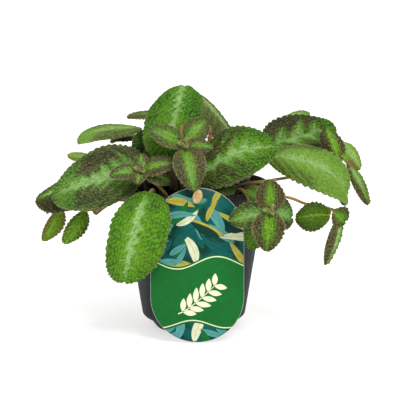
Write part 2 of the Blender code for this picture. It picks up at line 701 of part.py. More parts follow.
def stem_stations(route):
    """Points along a smooth curve through a stem's route, two to each stretch."""
    places = [Vector(place) for place in route]
    padded = [places[0]] + places + [places[-1]]
    points = []
    for i in range(1, len(padded) - 2):
        a, b, c, d = padded[i - 1:i + 3]
        for t in (0.0, 0.5):
            points.append(0.5 * (
                2 * b + (c - a) * t + (2 * a - 5 * b + 4 * c - d) * t ** 2
                + (3 * b - a - 3 * c + d) * t ** 3))
    return points + [places[-1]]


def make_sprig(name, sprig, collection):
    """A stem from the soil with its blades and rosettes, as one solid."""
    pieces = make_collection(name + "_pieces")
    first = sprig.stem[0]
    foot = (first[0], first[1], ROOT_DEPTH_HEIGHT / MM)
    path = [foot] + stem_stations(sprig.stem)
    thin = STALK_RADIUS * STEM_TAPER
    radii = np.linspace(STALK_RADIUS, thin, len(path)).tolist()
    stem = tube_object(name, path, radii, collection)
    for blade in sprig.blades:
        blade_object("blade", blade, pieces)
        joint = nearest(path, blade.midrib[0])
        tube_object("joint", [joint, blade.midrib[0], under_midrib(blade)[0]],
                    [thin, STALK_RADIUS * JOINT_TAPER, STALK_END_RADIUS], pieces)
    for rosette in sprig.rosettes:
        bpy.ops.mesh.primitive_ico_sphere_add(
            subdivisions=1, radius=HUB_RADIUS, location=Vector(rosette.centre) * MM)
        move_to(bpy.context.object, pieces)
        for leaflet in rosette.leaflets:
            blade_object("blade", leaflet_blade(rosette, leaflet), pieces)
    return largest_body(boolean(stem, pieces, "UNION", "MANIFOLD"))


def nearest(path, place):
    """The point of a stem's path that lies nearest a place."""
    return min((Vector(point) for point in path), key=lambda point: (point - Vector(place)).length)


def finish(obj, material):
    """Give an object its one material and smooth shading over its gentle edges."""
    obj.data.materials.clear()
    obj.data.materials.append(material)
    obj.data.shade_smooth()
    obj.data.set_sharp_from_angle(angle=SHARP_ANGLE)


def main():
    """Build the pot, soil, card and pin, then each leaf and each leafy stem."""
    clear_scene()
    parts = make_collection("flame_violet")
    roots = [leaf.root for leaf in LEAVES.values()]
    roots += [sprig.stem[0][:2] for sprig in SPRIGS.values()]
    finish(make_pot(parts), make_material("pot_plastic", POT_GREY, 0.45))
    finish(make_soil(roots, parts), make_material("soil", SOIL_BROWN, 0.95))
    finish(make_card(parts), make_material("card", CARD_GREEN, 0.35))
    finish(make_pin(parts), make_material("pin_wood", PIN_WOOD, 0.6))
    for name, leaf in LEAVES.items():
        material = make_material(name, LEAF_GREEN, 0.6)
        finish(make_leaf(name, leaf, parts), material)
    for name, sprig in SPRIGS.items():
        material = make_material(name, LEAF_DARK, 0.6)
        finish(make_sprig(name, sprig, parts), material)


main()
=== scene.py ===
"""Looks of a flame violet in its grower pot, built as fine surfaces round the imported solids.

Sizes in the tables below are millimetres in the part's own frame: the origin is the middle of the
pot's underside, +Z is up and the front of the plant, with the card, faces -Y.
"""
import math
from collections import namedtuple

import bpy
import numpy as np
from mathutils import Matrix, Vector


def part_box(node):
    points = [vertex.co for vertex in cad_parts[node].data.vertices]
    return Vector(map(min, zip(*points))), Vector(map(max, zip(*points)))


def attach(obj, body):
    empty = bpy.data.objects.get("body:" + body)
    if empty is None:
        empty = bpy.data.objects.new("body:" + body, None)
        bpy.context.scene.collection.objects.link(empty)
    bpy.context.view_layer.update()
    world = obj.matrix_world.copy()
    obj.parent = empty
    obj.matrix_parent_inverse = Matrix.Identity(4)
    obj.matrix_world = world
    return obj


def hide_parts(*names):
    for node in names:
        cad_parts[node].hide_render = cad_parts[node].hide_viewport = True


bl_info = {
    "name": "Flame violet in a grower pot",
    "version": (1, 0, 0),
    "blender": (4, 5, 0),
    "location": "3D View > Sidebar > Flame violet",
    "description": "Quilted leaves, leafy runners, pot, soil, card and pin of a potted plant",
    "category": "Object",
}

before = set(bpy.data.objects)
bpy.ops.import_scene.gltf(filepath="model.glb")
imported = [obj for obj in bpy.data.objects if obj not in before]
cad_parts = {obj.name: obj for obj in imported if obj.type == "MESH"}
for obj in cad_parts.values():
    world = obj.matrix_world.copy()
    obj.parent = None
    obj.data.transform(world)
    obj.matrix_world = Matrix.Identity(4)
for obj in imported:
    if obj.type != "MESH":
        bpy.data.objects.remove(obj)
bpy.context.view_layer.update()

MM = 0.001
BODY = "root"

# The pot's profile, the solid's own except that the foot slants in from the shoulder.
POT_WALL = 1.2
LIP_HEIGHT = 5.0
LIP_OVERHANG = 1.9
LIP_EDGE = 0.5
SHOULDER_HEIGHT = 10.5
SHOULDER_RADIUS = 41.2
SHOULDER_RISE = 5.0
FOOT_RADIUS = 30.2
FOOT_HEIGHT = 7.0
FOOT_EDGE = 0.6
FLOOR_THICKNESS = 1.4
DRAIN_HOLES = 8
DRAIN_RADIUS = 1.8
DRAIN_RING_RADIUS = 22.0
DRILL_TOP = 3.0
DRILL_BOTTOM = -2.0
DRILL_SIDES = 20
CORNER_REACH = 1.1
SHARP_EDGE = math.radians(50.0)

# The soil's mound, its grit and its loose crumbs, and peat dust on the pot's lip.
SOIL_EDGE_HEIGHT = 107.5
SOIL_MOUND = 3.5
SOIL_LUMP = 1.1
SOIL_FLOOR = 1.8
SOIL_RINGS = 56
SOIL_STEPS = 150
GRIT = 1.5
GRIT_SIZE = 2.6
FINE_GRIT = 0.7
FINE_GRIT_SIZE = 1.1
CRUMB_SMALLEST = 0.5
CRUMB_LARGEST = 1.6
ROOT_DEPTH_HEIGHT = 100.0
DUST_FROM = 108.0
DUST_TO = 113.0
CLEARANCE = 0.3

# The card's rounded edge and the pin: an oval head on a shank that slopes back and down.
CARD_EDGE = 0.3
CARD_STEPS = 120
PIN_SHANK_RADIUS = 1.4
PIN_SHANK_LENGTH = 36.0
PIN_SHANK_SLOPE = math.radians(11.0)
PIN_SHANK_INSET = 0.8
PIN_SHANK_RISE = 1.3
PIN_X = 3.0
PIN_HEAD_HEIGHT = 118.4
PIN_HEAD_WIDTH = 7.6
PIN_HEAD_LENGTH = 11.6
PIN_HEAD_THICKNESS = 2.6
PIN_HEAD_LEAN = math.radians(14.0)
PIN_HEAD_EDGE = 0.6
PIN_HEAD_SIDES = 48
PIN_SHANK_SIDES = 16
PIN_SHANK_STEPS = 12

# The card's print, in millimetres over the card's foot: leaves scattered on a grid above and below a
# plain field between two waves. An edge of the field has its height, how far and how often it
# swings, and way 1 where the leaves lie above it or -1 where they lie below.
FieldEdge = namedtuple("FieldEdge", "height swing pace shift way")
FIELD_EDGES = (FieldEdge(66.0, 5.0, 0.1, 0.0, 1.0), FieldEdge(13.0, 3.0, 0.12, 2.0, -1.0))
CREAM_LINE_INSET = 1.8
CREAM_LINE_EDGE = (0.55, 0.3)
PRINT_SEED = 11
PRINT_COLUMNS = 9
PRINT_ROWS = 13
PRINT_SCATTER = 4.0
PRINT_MARGIN = 0.5
PRINT_LEAF_POINTS = 16
PRINT_LEAF_LENGTHS = (16.0, 32.0)
PRINT_LEAF_WIDTHS = (4.0, 7.6)
PRINT_LEAF_TURN = math.radians(60.0)
PRINT_VEIN_WIDTH = 0.3
PRINT_VEIN_SHADE = 0.45
INK = 0.03
INK_LAYER = 0.002

# The cream sprig on the field: its stem's start and reach, and its leaves, turned in degrees.
SPRIG_START = (-15.0, 24.0)
SPRIG_REACH = (30.0, 24.0)
SPRIG_LEAVES = 6
SPRIG_LEAF_LENGTH = 12.5
SPRIG_LEAF_TURN = 38.0
SPRIG_LEAF_SPREAD = 48.0

# Linear colours of the card's bare edge and back, and of the cream ink's darker grains.
CARD_STOCK = (0.62, 0.64, 0.56)
CARD_STOCK_LIGHT = (0.78, 0.79, 0.72)
INK_SHADE = (0.62, 0.66, 0.42)

# The stage, in metres: the floor's half width and glow, the even light all round, where the camera
# aims, and suns by name, height, turn from the front to the right, spread in degrees and strength.
FLOOR_REACH = 14.0
FLOOR_GLOW = 0.56
STUDIO_LIGHT = 0.64
WHITE = (1.0, 1.0, 1.0)
CAMERA_AIM = (0.00496, 0.0, 0.1027)
SENSOR_WIDTH = 36.0
VIEW_END = 100.0
SUNS = (
    ("key_light", 46.0, 24.0, 26.0, 2.0),
    ("top_light", 80.0, -150.0, 70.0, 0.5),
    ("fill_light", 25.0, -50.0, 60.0, 0.45),
)

# Seeds of the first leaf, of the first leafy stem and of the soil's crumbs.
LEAF_SEED = 100
STEM_SEED = 400
STEM_SEED_STEP = 10
SOIL_SEED = 7

# Blades and stalks, as in the solids: outline, dome over each half, stalk under the midrib.
OUTLINE_POWER = 0.86
OUTLINE_ROUNDNESS = 0.62
WIDEST = 0.5 ** (1.0 / OUTLINE_POWER)
STATION_EASE = 0.62
DOME = 0.10
STALK_RADIUS = 1.35
STALK_TAPER = 0.85
STALK_END_RADIUS = 0.75
STALK_JOINT = 0.02
STALK_REACH = 0.14
STALK_SINK = 1.15
STALK_BOW = 0.38
STALK_CLEAR_OF_SOIL = 1.5
STEM_TAPER = 0.8
STALK_TINT = 0.15
HUB_RADIUS = 2.4
HUB_ROWS = 7
HUB_COLUMNS = 12
HUB_HAIRS = 70
HEART_TURN = 23.0
BUD_STALK_RADII = (0.6, 0.45)
BUD_STALK_TINT = 0.4
BUD_STRETCH = (0.75, 0.75, 1.5)
LEAFLET_START = 1.2
LEAFLET_LAYER = 0.03
LEAFLET_CUP = 0.06

# How finely surfaces are cut, in millimetres or steps, and how rough and hairy stalks are. A leaf
# is large from this length plus half width on.
LARGE_LEAF = 60.0
ROWS_PER_TOOTH = 4
COLUMN_STEP_LARGE = 0.85
COLUMN_STEP_SMALL = 0.62
TUBE_SIDES = 10
TUBE_STEP = 1.6
JOINT_STEP = 0.8
TUBE_WOBBLE = 0.08
STALK_HAIR_SHARE = 1.6

# A stalk's painted shade at its foot, where the leaves above shade it, fades between two heights
# over the soil, two distances from the pot's axis and two places from front to back.
SHADE_HEIGHTS = (34.0, 8.0)
SHADE_RADII = (60.0, 44.0)
SHADE_FRONT = (-46.0, -36.0)

# The quilting: how far veins sway and over what length, how broad and deep the midrib's groove is,
# the ridges beside the veins as shares of a dome, the vein spacing at which pillows are full, and
# how far apart the two halves of a blade read their scattered cells.
VEIN_SWAY = 1.6
VEIN_SWAY_LENGTH = 9.0
RIB_WIDTH = 1.1
RIB_DEPTH = 0.6
GROOVE_SHARE = 0.6
RIDGE_PITCH = 1.35
RIDGE_SHARE = 1.1
RIDGE_SWAY = 8.0
RIDGE_SWAY_LENGTH = 4.0
FULL_PILLOW_SPACING = 6.0
HALF_OFFSETS = (35.0, 77.0)

# The rim: teeth of small blades as shares of large ones', and slow lobes as a share of half width.
SMALL_PITCH_SHARE = 0.72
SMALL_DEPTH_SHARE = 0.85
LOBE_SHARE = 0.07
LOBE_LENGTH = 17.0
BILLOW_LENGTH = 12.0

# Grain of the painted edges in millimetres, broad grain along and across the blade, and the share
# of rim colour on the rims and on the hairs of blades that aren't downy.
FINE_GRAIN = 0.8
RAGGED_GRAIN = 1.7
BROAD_GRAIN = (12.0, 9.0)
PLAIN_RIM_SHARE = 0.28
PLAIN_HAIR_SHARE = 0.15

Blade = namedtuple("Blade", "midrib right left roundness", defaults=[OUTLINE_ROUNDNESS])
Leaf = namedtuple("Leaf", "root blade look")
Leaflet = namedtuple("Leaflet", "angle length width lift droop look", defaults=[None])
Rosette = namedtuple("Rosette", "centre facing look leaflets")
Sprig = namedtuple("Sprig", "stem blades looks rosettes tint", defaults=[STALK_TINT])

# How a blade is painted. Band is the pale midrib band's half width as a share of the blade's half
# width, and feather how far it runs out along the side veins. Brown right and left are the strength
# of the bronze on each half, which starts at the share brown_in from midrib to rim and lasts along
# the midrib from brown_from to brown_to. Spacing stretches the side veins apart, bloom is the
# strength of the pale down over all. Teeth and lean are shares of the usual depth of the rim's
# teeth and of the side veins' slant, and band_from is where along the midrib the band starts.
Look = namedtuple(
    "Look", "tone band feather brown_right brown_left brown_in brown_from brown_to spacing bloom "
    "teeth lean band_from", defaults=[0.45, -0.2, 1.2, 1.0, 0.04, 1.0, 1.0, -0.2])

LEAVES = {
    "leaf_top": Leaf((-8, 6), Blade(
        [(-5, 32, 182), (-9, 8, 191), (-15, -22, 172), (-25, -37, 147)],
        (-38, -11, 172), (6, -8, 174), 0.55), Look("fresh", 0.06, 1.0, 0.0, 0.0, spacing=1.2)),
    "leaf_top_folded": Leaf((9, 22), Blade(
        [(2, 45, 181), (18, 42, 166), (34, 36, 143)], (6, 32, 156), (20, 51, 164)),
        Look("dusk", 0.12, 0.5, 0.35, 1.0, 0.25, bloom=0.05)),
    "leaf_upper_left": Leaf((-18, 2), Blade(
        [(-41, 8, 158), (-68, 2, 158), (-91, -7, 151)], (-77, 18, 158), (-76, -20, 154)),
        Look("silver", 0.14, 0.7, 0.8, 0.75, 0.18, -0.1, 0.6, bloom=0.18, teeth=1.2)),
    "leaf_left_sliver": Leaf((-16, 12), Blade(
        [(-42, 22, 148), (-55, 24, 149), (-67, 24, 145)], (-55, 38, 148), (-54, 10, 149)),
        Look("leaf", 0.15, 0.5, 0.9, 0.9)),
    "leaf_back_left_high": Leaf((-10, 22), Blade(
        [(-21, 34, 163), (-38, 42, 164), (-54, 48, 161)], (-39, 54, 164), (-39, 30, 163)),
        Look("dusk", 0.15, 0.5, 0.8, 0.8)),
    "leaf_inner_dark": Leaf((-14, -8), Blade(
        [(-28, -6, 141), (-37, -9, 150), (-46, -12, 158)], (-29, -7, 160), (-46, -14, 142)),
        Look("shade", 0.08, 0.4, 0.2, 0.2)),
    "leaf_inner_middle": Leaf((-8, -10), Blade(
        [(-8, -12, 132), (-20, -17, 143), (-32, -22, 151)], (-14, -18, 153), (-38, -19, 136)),
        Look("shade", 0.16, 0.4, 0.5, 0.5)),
    "leaf_left_large": Leaf((-26, -18), Blade(
        [(-34, -30, 133), (-72, -42, 128), (-111, -48, 116)], (-69, -24, 152), (-75, -58, 107)),
        Look("dull", 0.13, 1.3, 1.0, 0.85, 0.24, -0.2, 0.7, 1.3, bloom=0.08, teeth=0.7)),
    "leaf_left_under": Leaf((-38, -2), Blade(
        [(-70, 0, 121), (-99, -12, 116), (-125, -18, 106)], (-98, 12, 118), (-101, -28, 99)),
        Look("leaf", 0.22, 0.5, 0.7, 1.0, 0.35)),
    "leaf_left_back": Leaf((-30, 18), Blade(
        [(-68, 36, 123), (-87, 46, 127), (-103, 54, 128)], (-88, 60, 127), (-88, 38, 124)),
        Look("rosy", 0.2, 0.4, 0.8, 0.4, 0.55)),
    # Its bronze near the stalk, at the leaf's top, is painted shadow of the leaves above, in the
    # bright tone's shaded green.
    "leaf_front_hanging": Leaf((-31, -38), Blade(
        [(-35, -59, 120.5), (-43, -73, 104), (-50, -78, 76), (-54, -75, 53)],
        (-67, -66, 90), (-20, -74, 88), 0.54),
        Look("bright", 0.09, 1.1, 0.6, 0.6, 0.1, -0.3, 0.2, 1.4, lean=0.4, band_from=0.12)),
    "leaf_right_large": Leaf((11, -20), Blade(
        [(3, -39, 128), (34, -48, 149), (65, -44, 154)], (34, -62, 130), (24, -29, 165), 0.52),
        Look("leaf", 0.1, 1.4, 0.8, 0.9, 0.26, -0.2, 0.66, 1.5, bloom=0.02, teeth=0.55)),
    "leaf_right_back": Leaf((27, 14), Blade(
        [(55, 28, 140), (84, 26, 149), (113, 16, 160)],
        (92, 8, 133), (72, 42, 163), 0.52), Look("leaf", 0.05, 2.0, 0.75, 1.0, 0.12, -0.2, 0.95, 2.2)),
    "leaf_right_back_tip": Leaf((22, 28), Blade(
        [(58, 48, 147), (77, 56, 158), (94, 62, 161)], (79, 46, 155), (79, 67, 160)),
        Look("silver", 0.4, 0.4, 0.1, 0.1)),
    "leaf_right_silver": Leaf((42, -10), Blade(
        [(57, -6, 140), (85, -22, 139), (111, -28, 127), (116, -24, 106)],
        (99, -42, 118), (105, -6, 144)),
        Look("silver", 0.12, 0.8, 0.4, 0.75, 0.25, -0.2, 0.42, bloom=0.08, teeth=1.4)),
    "leaf_behind_card": Leaf((15, -38), Blade(
        [(11, -38, 124), (22, -45, 124), (33, -49, 120)], (20, -55, 118.5), (24, -40, 130)),
        Look("shade", 0.06, 0.4, 0.2, 0.2)),
    "leaf_back_high": Leaf((-4, 26), Blade(
        [(-12, 40, 152), (-18, 62, 160), (-22, 86, 148)], (0, 64, 156), (-37, 60, 156)),
        Look("leaf", 0.24, 1.0, 0.8, 0.8, 0.4)),
    "leaf_back_middle": Leaf((-6, 38), Blade(
        [(-8, 54, 128), (-14, 84, 133), (-20, 112, 112)], (9, 86, 125), (-36, 80, 127)),
        Look("leaf", 0.2, 1.0, 0.7, 0.9, 0.4)),
    "leaf_back_left": Leaf((-26, 30), Blade(
        [(-46, 52, 123), (-66, 70, 121), (-86, 84, 103)], (-52, 88, 112), (-80, 52, 114)),
        Look("silver", 0.22, 0.8, 0.5, 0.5, 0.4)),
    "leaf_back_right": Leaf((16, 38), Blade(
        [(28, 52, 131), (40, 76, 134), (46, 100, 117)], (60, 70, 126), (20, 82, 128)),
        Look("fresh", 0.16, 0.9, 0.3, 0.2, 0.5)),
}

YOUNG = Look("young", 0.24, 0.8, 1.0, 1.0, 0.36, bloom=0.02)
DOWNY = YOUNG._replace(bloom=0.14)
GREYER = Look("dull", 0.16, 1.3, 0.85, 0.7, 0.36)
PLAINER = Look("leaf", 0.05, 0.6, 0.5, 0.4, 0.75)
SPRIGS = {
    "stem_crown_rosette": Sprig(
        [(-9, -30, 112), (-10, -38, 130), (-8, -46, 147), (-7, -51, 155)], [], [],
        [Rosette((-7, -52, 156), (0.0, -0.80, 0.60), DOWNY, [
            Leaflet(-65, 30, 18, 10, 0.10),
            Leaflet(97, 21, 13, 12, 0.12),
            Leaflet(168, 36, 25, -2, 0.10),
            Leaflet(33, 29, 21, -4, 0.10),
            Leaflet(-20, 11, 7, 26, 0.0)])]),
    "stem_left_rosette": Sprig(
        [(-20, -42, 112), (-25, -45, 120), (-33, -49, 129), (-40, -50, 134)], [], [],
        [Rosette((-41, -50, 135), (0.0, -0.75, 0.66), DOWNY, [
            Leaflet(78, 26, 17, 14, 0.12),
            Leaflet(0, 13, 12, 25, 0.10),
            Leaflet(-102, 24, 14, 12, 0.12),
            Leaflet(-168, 14, 11, 25, 0.10),
            Leaflet(97, 24, 15, -22, 0.05)])]),
    "stem_front_right_rosette": Sprig(
        [(31, -33, 112), (36, -43, 120), (41, -52, 118.5), (45, -62, 112.5), (51, -70, 110),
         (58, -76, 109.5)], [], [],
        [Rosette((59, -76, 109), (0.08, -0.90, 0.42), YOUNG, [
            Leaflet(2, 23, 24, 12, 0.08),
            Leaflet(187, 31, 25, 8, 0.10),
            Leaflet(260, 31, 21, -6, 0.10, GREYER),
            Leaflet(92, 25, 25, -38, 0.10, GREYER),
            Leaflet(212, 33, 22, -25, 0.05, PLAINER),
            Leaflet(-32, 30, 12, -28, 0.05, PLAINER)])]),
    "runner_left": Sprig(
        [(-44, -18, 112), (-55, -22, 121), (-68, -18, 110), (-82, -10, 97), (-94, -6, 97),
         (-105, -6, 99)],
        [Blade([(-106, -9, 98), (-112, -15, 86), (-120, -14, 72)],
               (-104, -17, 84), (-118, -10, 86)),
         Blade([(-86, -11, 96), (-95, -18, 84), (-104, -16, 71)],
               (-101, -16, 86), (-87, -16, 79))],
        [Look("rosy", 0.15, 0.4, 1.0, 1.0, 0.55), Look("olive", 0.1, 0.8, 0.6, 0.6, 0.75)],
        [Rosette((-105, -6, 99), (-0.5, 0.2, 0.84), YOUNG, [
            Leaflet(40, 15, 10, 10, 0.1),
            Leaflet(150, 13, 9, 10, 0.1)])],
        0.55),
    "runner_right_high": Sprig(
        [(28, -30, 112), (38, -28, 120.5), (60, -20, 122.5), (83, -10, 124.5), (104, -2, 129),
         (119, 2, 136)],
        [Blade([(116, 4, 149), (125, 7, 140), (133, 4, 127)], (120, -1, 134), (129, 13, 142)),
         Blade([(122, 1, 133), (131, -2, 118), (139, -4, 100)], (128, -7, 113), (136, 3, 117)),
         Blade([(116, 0, 137), (112, -3, 149), (106, 0, 161)], (120, 1, 148), (101, -1, 149))],
        [Look("rosy", 0.4, 0.4, 0.9, 0.3, 0.4, 0.5, 1.2), Look("silver", 0.28, 0.5, 1.0, 0.5, 0.4),
         Look("young", 0.3, 0.3, 1.0, 1.0, 0.4)],
        [], 0.1),
    "runner_right_low": Sprig(
        [(36, -24, 112), (47, -36, 121), (62, -46, 117), (77, -44, 113), (88, -38, 107.5),
         (101, -36, 105), (113, -35, 101)],
        [Blade([(107, -40, 99), (93, -47, 100), (80, -48, 98)], (94, -42, 109), (93, -51, 88)),
         Blade([(115, -34, 94), (112, -38, 77), (104, -38, 58)], (105, -44, 80), (116, -28, 78)),
         Blade([(110, -37, 101), (115, -35, 97), (120, -31, 92)], (111, -37, 89), (121, -33, 103))],
        [Look("moss", 0.03, 0.7, 0.8, 0.8, 0.62), Look("silver", 0.22, 0.4, 1.0, 0.3, 0.2),
         YOUNG],
        [], 0.6),
    "runner_back": Sprig(
        [(8, 44, 112), (10, 56, 121), (11, 72, 113), (10, 83, 97)], [], [],
        [Rosette((10, 84, 96), (0.1, 0.88, 0.46), YOUNG, [
            Leaflet(20, 24, 18, 10, 0.1),
            Leaflet(110, 26, 18, 6, 0.1),
            Leaflet(200, 30, 20, 10, 0.1),
            Leaflet(290, 25, 18, 6, 0.1)])]),
    "runner_back_left": Sprig(
        [(-36, 26, 112), (-47, 36, 121), (-57, 51, 112), (-62, 61, 97)], [], [],
        [Rosette((-63, 62, 96), (-0.5, 0.7, 0.5), YOUNG, [
            Leaflet(60, 22, 16, 8, 0.1),
            Leaflet(150, 25, 18, 8, 0.1),
            Leaflet(240, 22, 16, 8, 0.1),
            Leaflet(330, 18, 14, 8, 0.1)])]),
}

# Tiny leaves round a rosette's middle, and flower buds as the path of a stalk and a radius.
HEART = Look("rosy", 0.12, 0.3, 0.8, 0.8, 0.2)
HEART_LEAFLETS = [
    Leaflet(30, 7.0, 5.0, 52, 0.15), Leaflet(150, 6.5, 4.6, 56, 0.15),
    Leaflet(268, 7.2, 5.0, 50, 0.15), Leaflet(88, 4.6, 3.4, 72, 0.1),
    Leaflet(215, 4.4, 3.2, 74, 0.1)]
BUDS = {
    "stem_crown_rosette": [([(-7.5, -51, 158), (-9.5, -52.5, 166), (-9.2, -52, 171)], 1.6)],
    "leaf_top_folded": [
        ([(9, 22, 114), (13, 17, 130), (14, 12, 146), (13, 10, 157)], 2.3),
        ([(9, 22, 114), (10, 16, 130), (12, 12, 142), (13, 10, 150)], 2.9)],
}

# Tones whose rim shows its down most.
DOWNY_TONES = ("young", "rosy", "dusk")

# Which of the leaf colours each tone uses: the lighter ones are painted light on raised tissue, the
# shaded ones painted shade in the creases between.
Tone = namedtuple(
    "Tone", "green green_deep brown brown_deep pale pale_deep under",
    defaults=["bronze", "bronze_deep", "silver", "silver_deep", "under_green"])
TONES = {
    # Bright is the green of a leaf in full light; its bronze is the shaded green, painted shadow.
    "bright": Tone("bright_green", "bright_deep", "shade_green", "shade_deep"),
    "fresh": Tone("fresh_green", "fresh_deep"),
    "leaf": Tone("leaf_green", "leaf_deep"),
    "dull": Tone("dull_green", "dull_deep"),
    "silver": Tone("misty_green", "misty_deep", "bronze_grey", "bronze_grey_deep"),
    "dusk": Tone("olive_green", "olive_deep", "bronze_grey", "bronze_grey_deep",
                 under="under_rose"),
    "shade": Tone("shade_green", "shade_deep", pale="leaf_green", pale_deep="leaf_deep"),
    "moss": Tone("moss_green", "moss_deep", pale="lime", pale_deep="lime_deep"),
    "olive": Tone("lime", "bright_deep", "bronze_grey", "bronze", "lime", "lime_deep"),
    "rosy": Tone("lime", "misty_deep", "blush", "bronze", under="lime"),
    "young": Tone("leaf_green", "leaf_deep", "bronze_grey", "bronze_grey_deep", "lime",
                  "lime_deep", "under_rose"),
}


def linear(red, green, blue):
    """A screen colour of 0 to 255 as the linear colour that shaders use."""
    shares = np.array([red, green, blue]) / 255.0
    low = shares / 12.92
    high = ((shares + 0.055) / 1.055) ** 2.4
    return tuple(np.where(shares <= 0.04045, low, high).tolist())


def smooth(low, high, x):
    """Share of the way from low to high, from 0 to 1, eased at both ends."""
    share = np.clip((x - low) / (high - low), 0.0, 1.0)
    return share * share * (3.0 - 2.0 * share)


def lattice(x, y, seed):
    """A repeatable scatter of numbers from 0 to 1, one for each whole pair x, y."""
    mixed = np.sin(x * 127.1 + y * 311.7 + seed * 74.7) * 43758.5453
    return mixed - np.floor(mixed)


def clouds(x, y, seed):
    """Soft noise from 0 to 1: lattice numbers blended smoothly between whole x and y."""
    ix, iy = np.floor(x), np.floor(y)
    fx, fy = smooth(0.0, 1.0, x - ix), smooth(0.0, 1.0, y - iy)
    near = lattice(ix, iy, seed) * (1 - fx) + lattice(ix + 1, iy, seed) * fx
    far = lattice(ix, iy + 1, seed) * (1 - fx) + lattice(ix + 1, iy + 1, seed) * fx
    return near * (1 - fy) + far * fy


def cells(x, y, seed):
    """Distances to the nearest and the next nearest of points scattered one to each unit square."""
    ix, iy = np.floor(x), np.floor(y)
    near = np.full(x.shape, 9.0)
    second = np.full(x.shape, 9.0)
    for dx in (-1, 0, 1):
        for dy in (-1, 0, 1):
            cx, cy = ix + dx, iy + dy
            px = cx + 0.5 + 0.7 * (lattice(cx, cy, seed) - 0.5)
            py = cy + 0.5 + 0.7 * (lattice(cx, cy, seed + 17) - 0.5)
            distance = np.hypot(px - x, py - y)
            second = np.minimum(second, np.maximum(near, distance))
            near = np.minimum(near, distance)
    return near, second


def unit(vectors):
    """Vectors scaled to length 1, along the last axis."""
    return vectors / np.maximum(np.linalg.norm(vectors, axis=-1, keepdims=True), 1e-9)


class Sheaf:
    """Surfaces gathered into one mesh: points in millimetres, faces, paint and finishes.

    On blades the four shares of paint are pale band, bronze, raised tissue and rim; raised tissue
    sets the painted light on the quilting's tops and the painted shade in its creases. On stalks
    they are tan, painted shade at the foot, bud and young green, and on hairs the last one is the
    share of rim colour.
    """

    def __init__(self):
        self.points = []
        self.faces = []
        self.finishes = []
        self.paint = []
        self.under = []
        self.bloom = []
        self.count = 0

    def add(self, points, faces, paint=(0.0, 0.0, 0.5, 0.0), under=0.0, bloom=0.0, finish=0):
        """Add a surface. Faces are arrays of corner numbers that count from this surface's own."""
        points = np.asarray(points, float).reshape(-1, 3)
        for group in faces:
            self.faces += (np.asarray(group) + self.count).tolist()
            self.finishes += [finish] * len(group)
        self.points.append(points)
        self.paint.append(np.broadcast_to(np.asarray(paint, float), (len(points), 4)))
        self.under.append(np.broadcast_to(np.asarray(under, float), (len(points),)))
        self.bloom.append(np.broadcast_to(np.asarray(bloom, float), (len(points),)))
        self.count += len(points)

    def piece(self, name, materials, nodes):
        """The mesh as a piece that rides on the part and stands for CAD nodes."""
        mesh = bpy.data.meshes.new(name)
        mesh.from_pydata((np.concatenate(self.points) * MM).tolist(), [], self.faces)
        for material in materials:
            mesh.materials.append(material)
        mesh.polygons.foreach_set("material_index", self.finishes)
        paint = mesh.attributes.new("paint", "FLOAT_COLOR", "POINT")
        paint.data.foreach_set("color", np.concatenate(self.paint).ravel())
        for key, shares in (("under", self.under), ("bloom", self.bloom)):
            attribute = mesh.attributes.new(key, "FLOAT", "POINT")
            attribute.data.foreach_set("value", np.concatenate(shares))
        mesh.shade_smooth()
        mesh.update()
        obj = bpy.data.objects.new(name, mesh)
        bpy.context.scene.collection.objects.link(obj)
        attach(obj, BODY)
        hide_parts(*nodes)
        return obj


def grid_faces(rows, columns, closed=False, flip=False):
    """Quads between the points of a grid that runs row by row. Closed joins last column to first."""
    reach = columns if closed else columns - 1
    i, j = np.meshgrid(np.arange(rows - 1), np.arange(reach), indexing="ij")
    k = (j + 1) % columns
    corners = [i * columns + j, i * columns + k, (i + 1) * columns + k, (i + 1) * columns + j]
    quads = np.stack(corners, axis=-1).reshape(-1, 4)
    return quads[:, ::-1] if flip else quads


def fan(pole, ring, closed=False, flip=False):
    """Triangles from a pole to the points of a ring or row."""
    ring = np.asarray(ring)
    following = np.roll(ring, -1) if closed else ring[1:]
    first = ring if closed else ring[:-1]
    faces = np.stack([np.full(len(first), pole), first, following], axis=-1)
    return faces[:, ::-1] if flip else faces


def capped_faces(rows, columns, flip=False):
    """Faces of rings that run one after another, closed by two poles that follow all the rings."""
    size = rows * columns
    ring = np.arange(columns)
    return [grid_faces(rows, columns, closed=True, flip=flip),
            fan(size, ring, closed=True, flip=not flip),
            fan(size + 1, ring + size - columns, closed=True, flip=flip)]


def turned_points(profile, steps, flip=False):
    """A profile of radius and height turned round +Z, whose first and last points are on the axis."""
    profile = np.asarray(profile, float)
    angles = np.arange(steps) * math.tau / steps
    rings = profile[1:-1]
    x = rings[:, 0, None] * np.cos(angles)[None, :]
    y = rings[:, 0, None] * np.sin(angles)[None, :]
    z = rings[:, 1, None] + 0.0 * x
    points = np.stack([x, y, z], axis=-1).reshape(-1, 3)
    poles = [[0.0, 0.0, profile[0, 1]], [0.0, 0.0, profile[-1, 1]]]
    return np.concatenate([points, poles]), capped_faces(len(rings), steps, flip)


def ball_points(centre, radius, rows, columns, stretch=(1.0, 1.0, 1.0)):
    """A ball, or an egg where stretched: half a circle turned round from its top to its foot."""
    polar = np.linspace(0.0, math.pi, rows + 2)
    profile = np.stack([np.sin(polar), np.cos(polar)], axis=-1)
    points, faces = turned_points(profile, columns, flip=True)
    return np.asarray(centre) + radius * points * np.asarray(stretch), faces


def circles(first, second, sides):
    """A circle of unit directions for each pair of directions that are square to one another."""
    angles = np.arange(sides) * math.tau / sides
    ring = np.cos(angles)[None, :, None] * first[:, None, :]
    return ring + np.sin(angles)[None, :, None] * second[:, None, :]


def distances(path):
    """Distance along a path to each of its points, from 0 at the first."""
    return np.concatenate([[0.0], np.cumsum(np.linalg.norm(np.diff(path, axis=0), axis=1))])


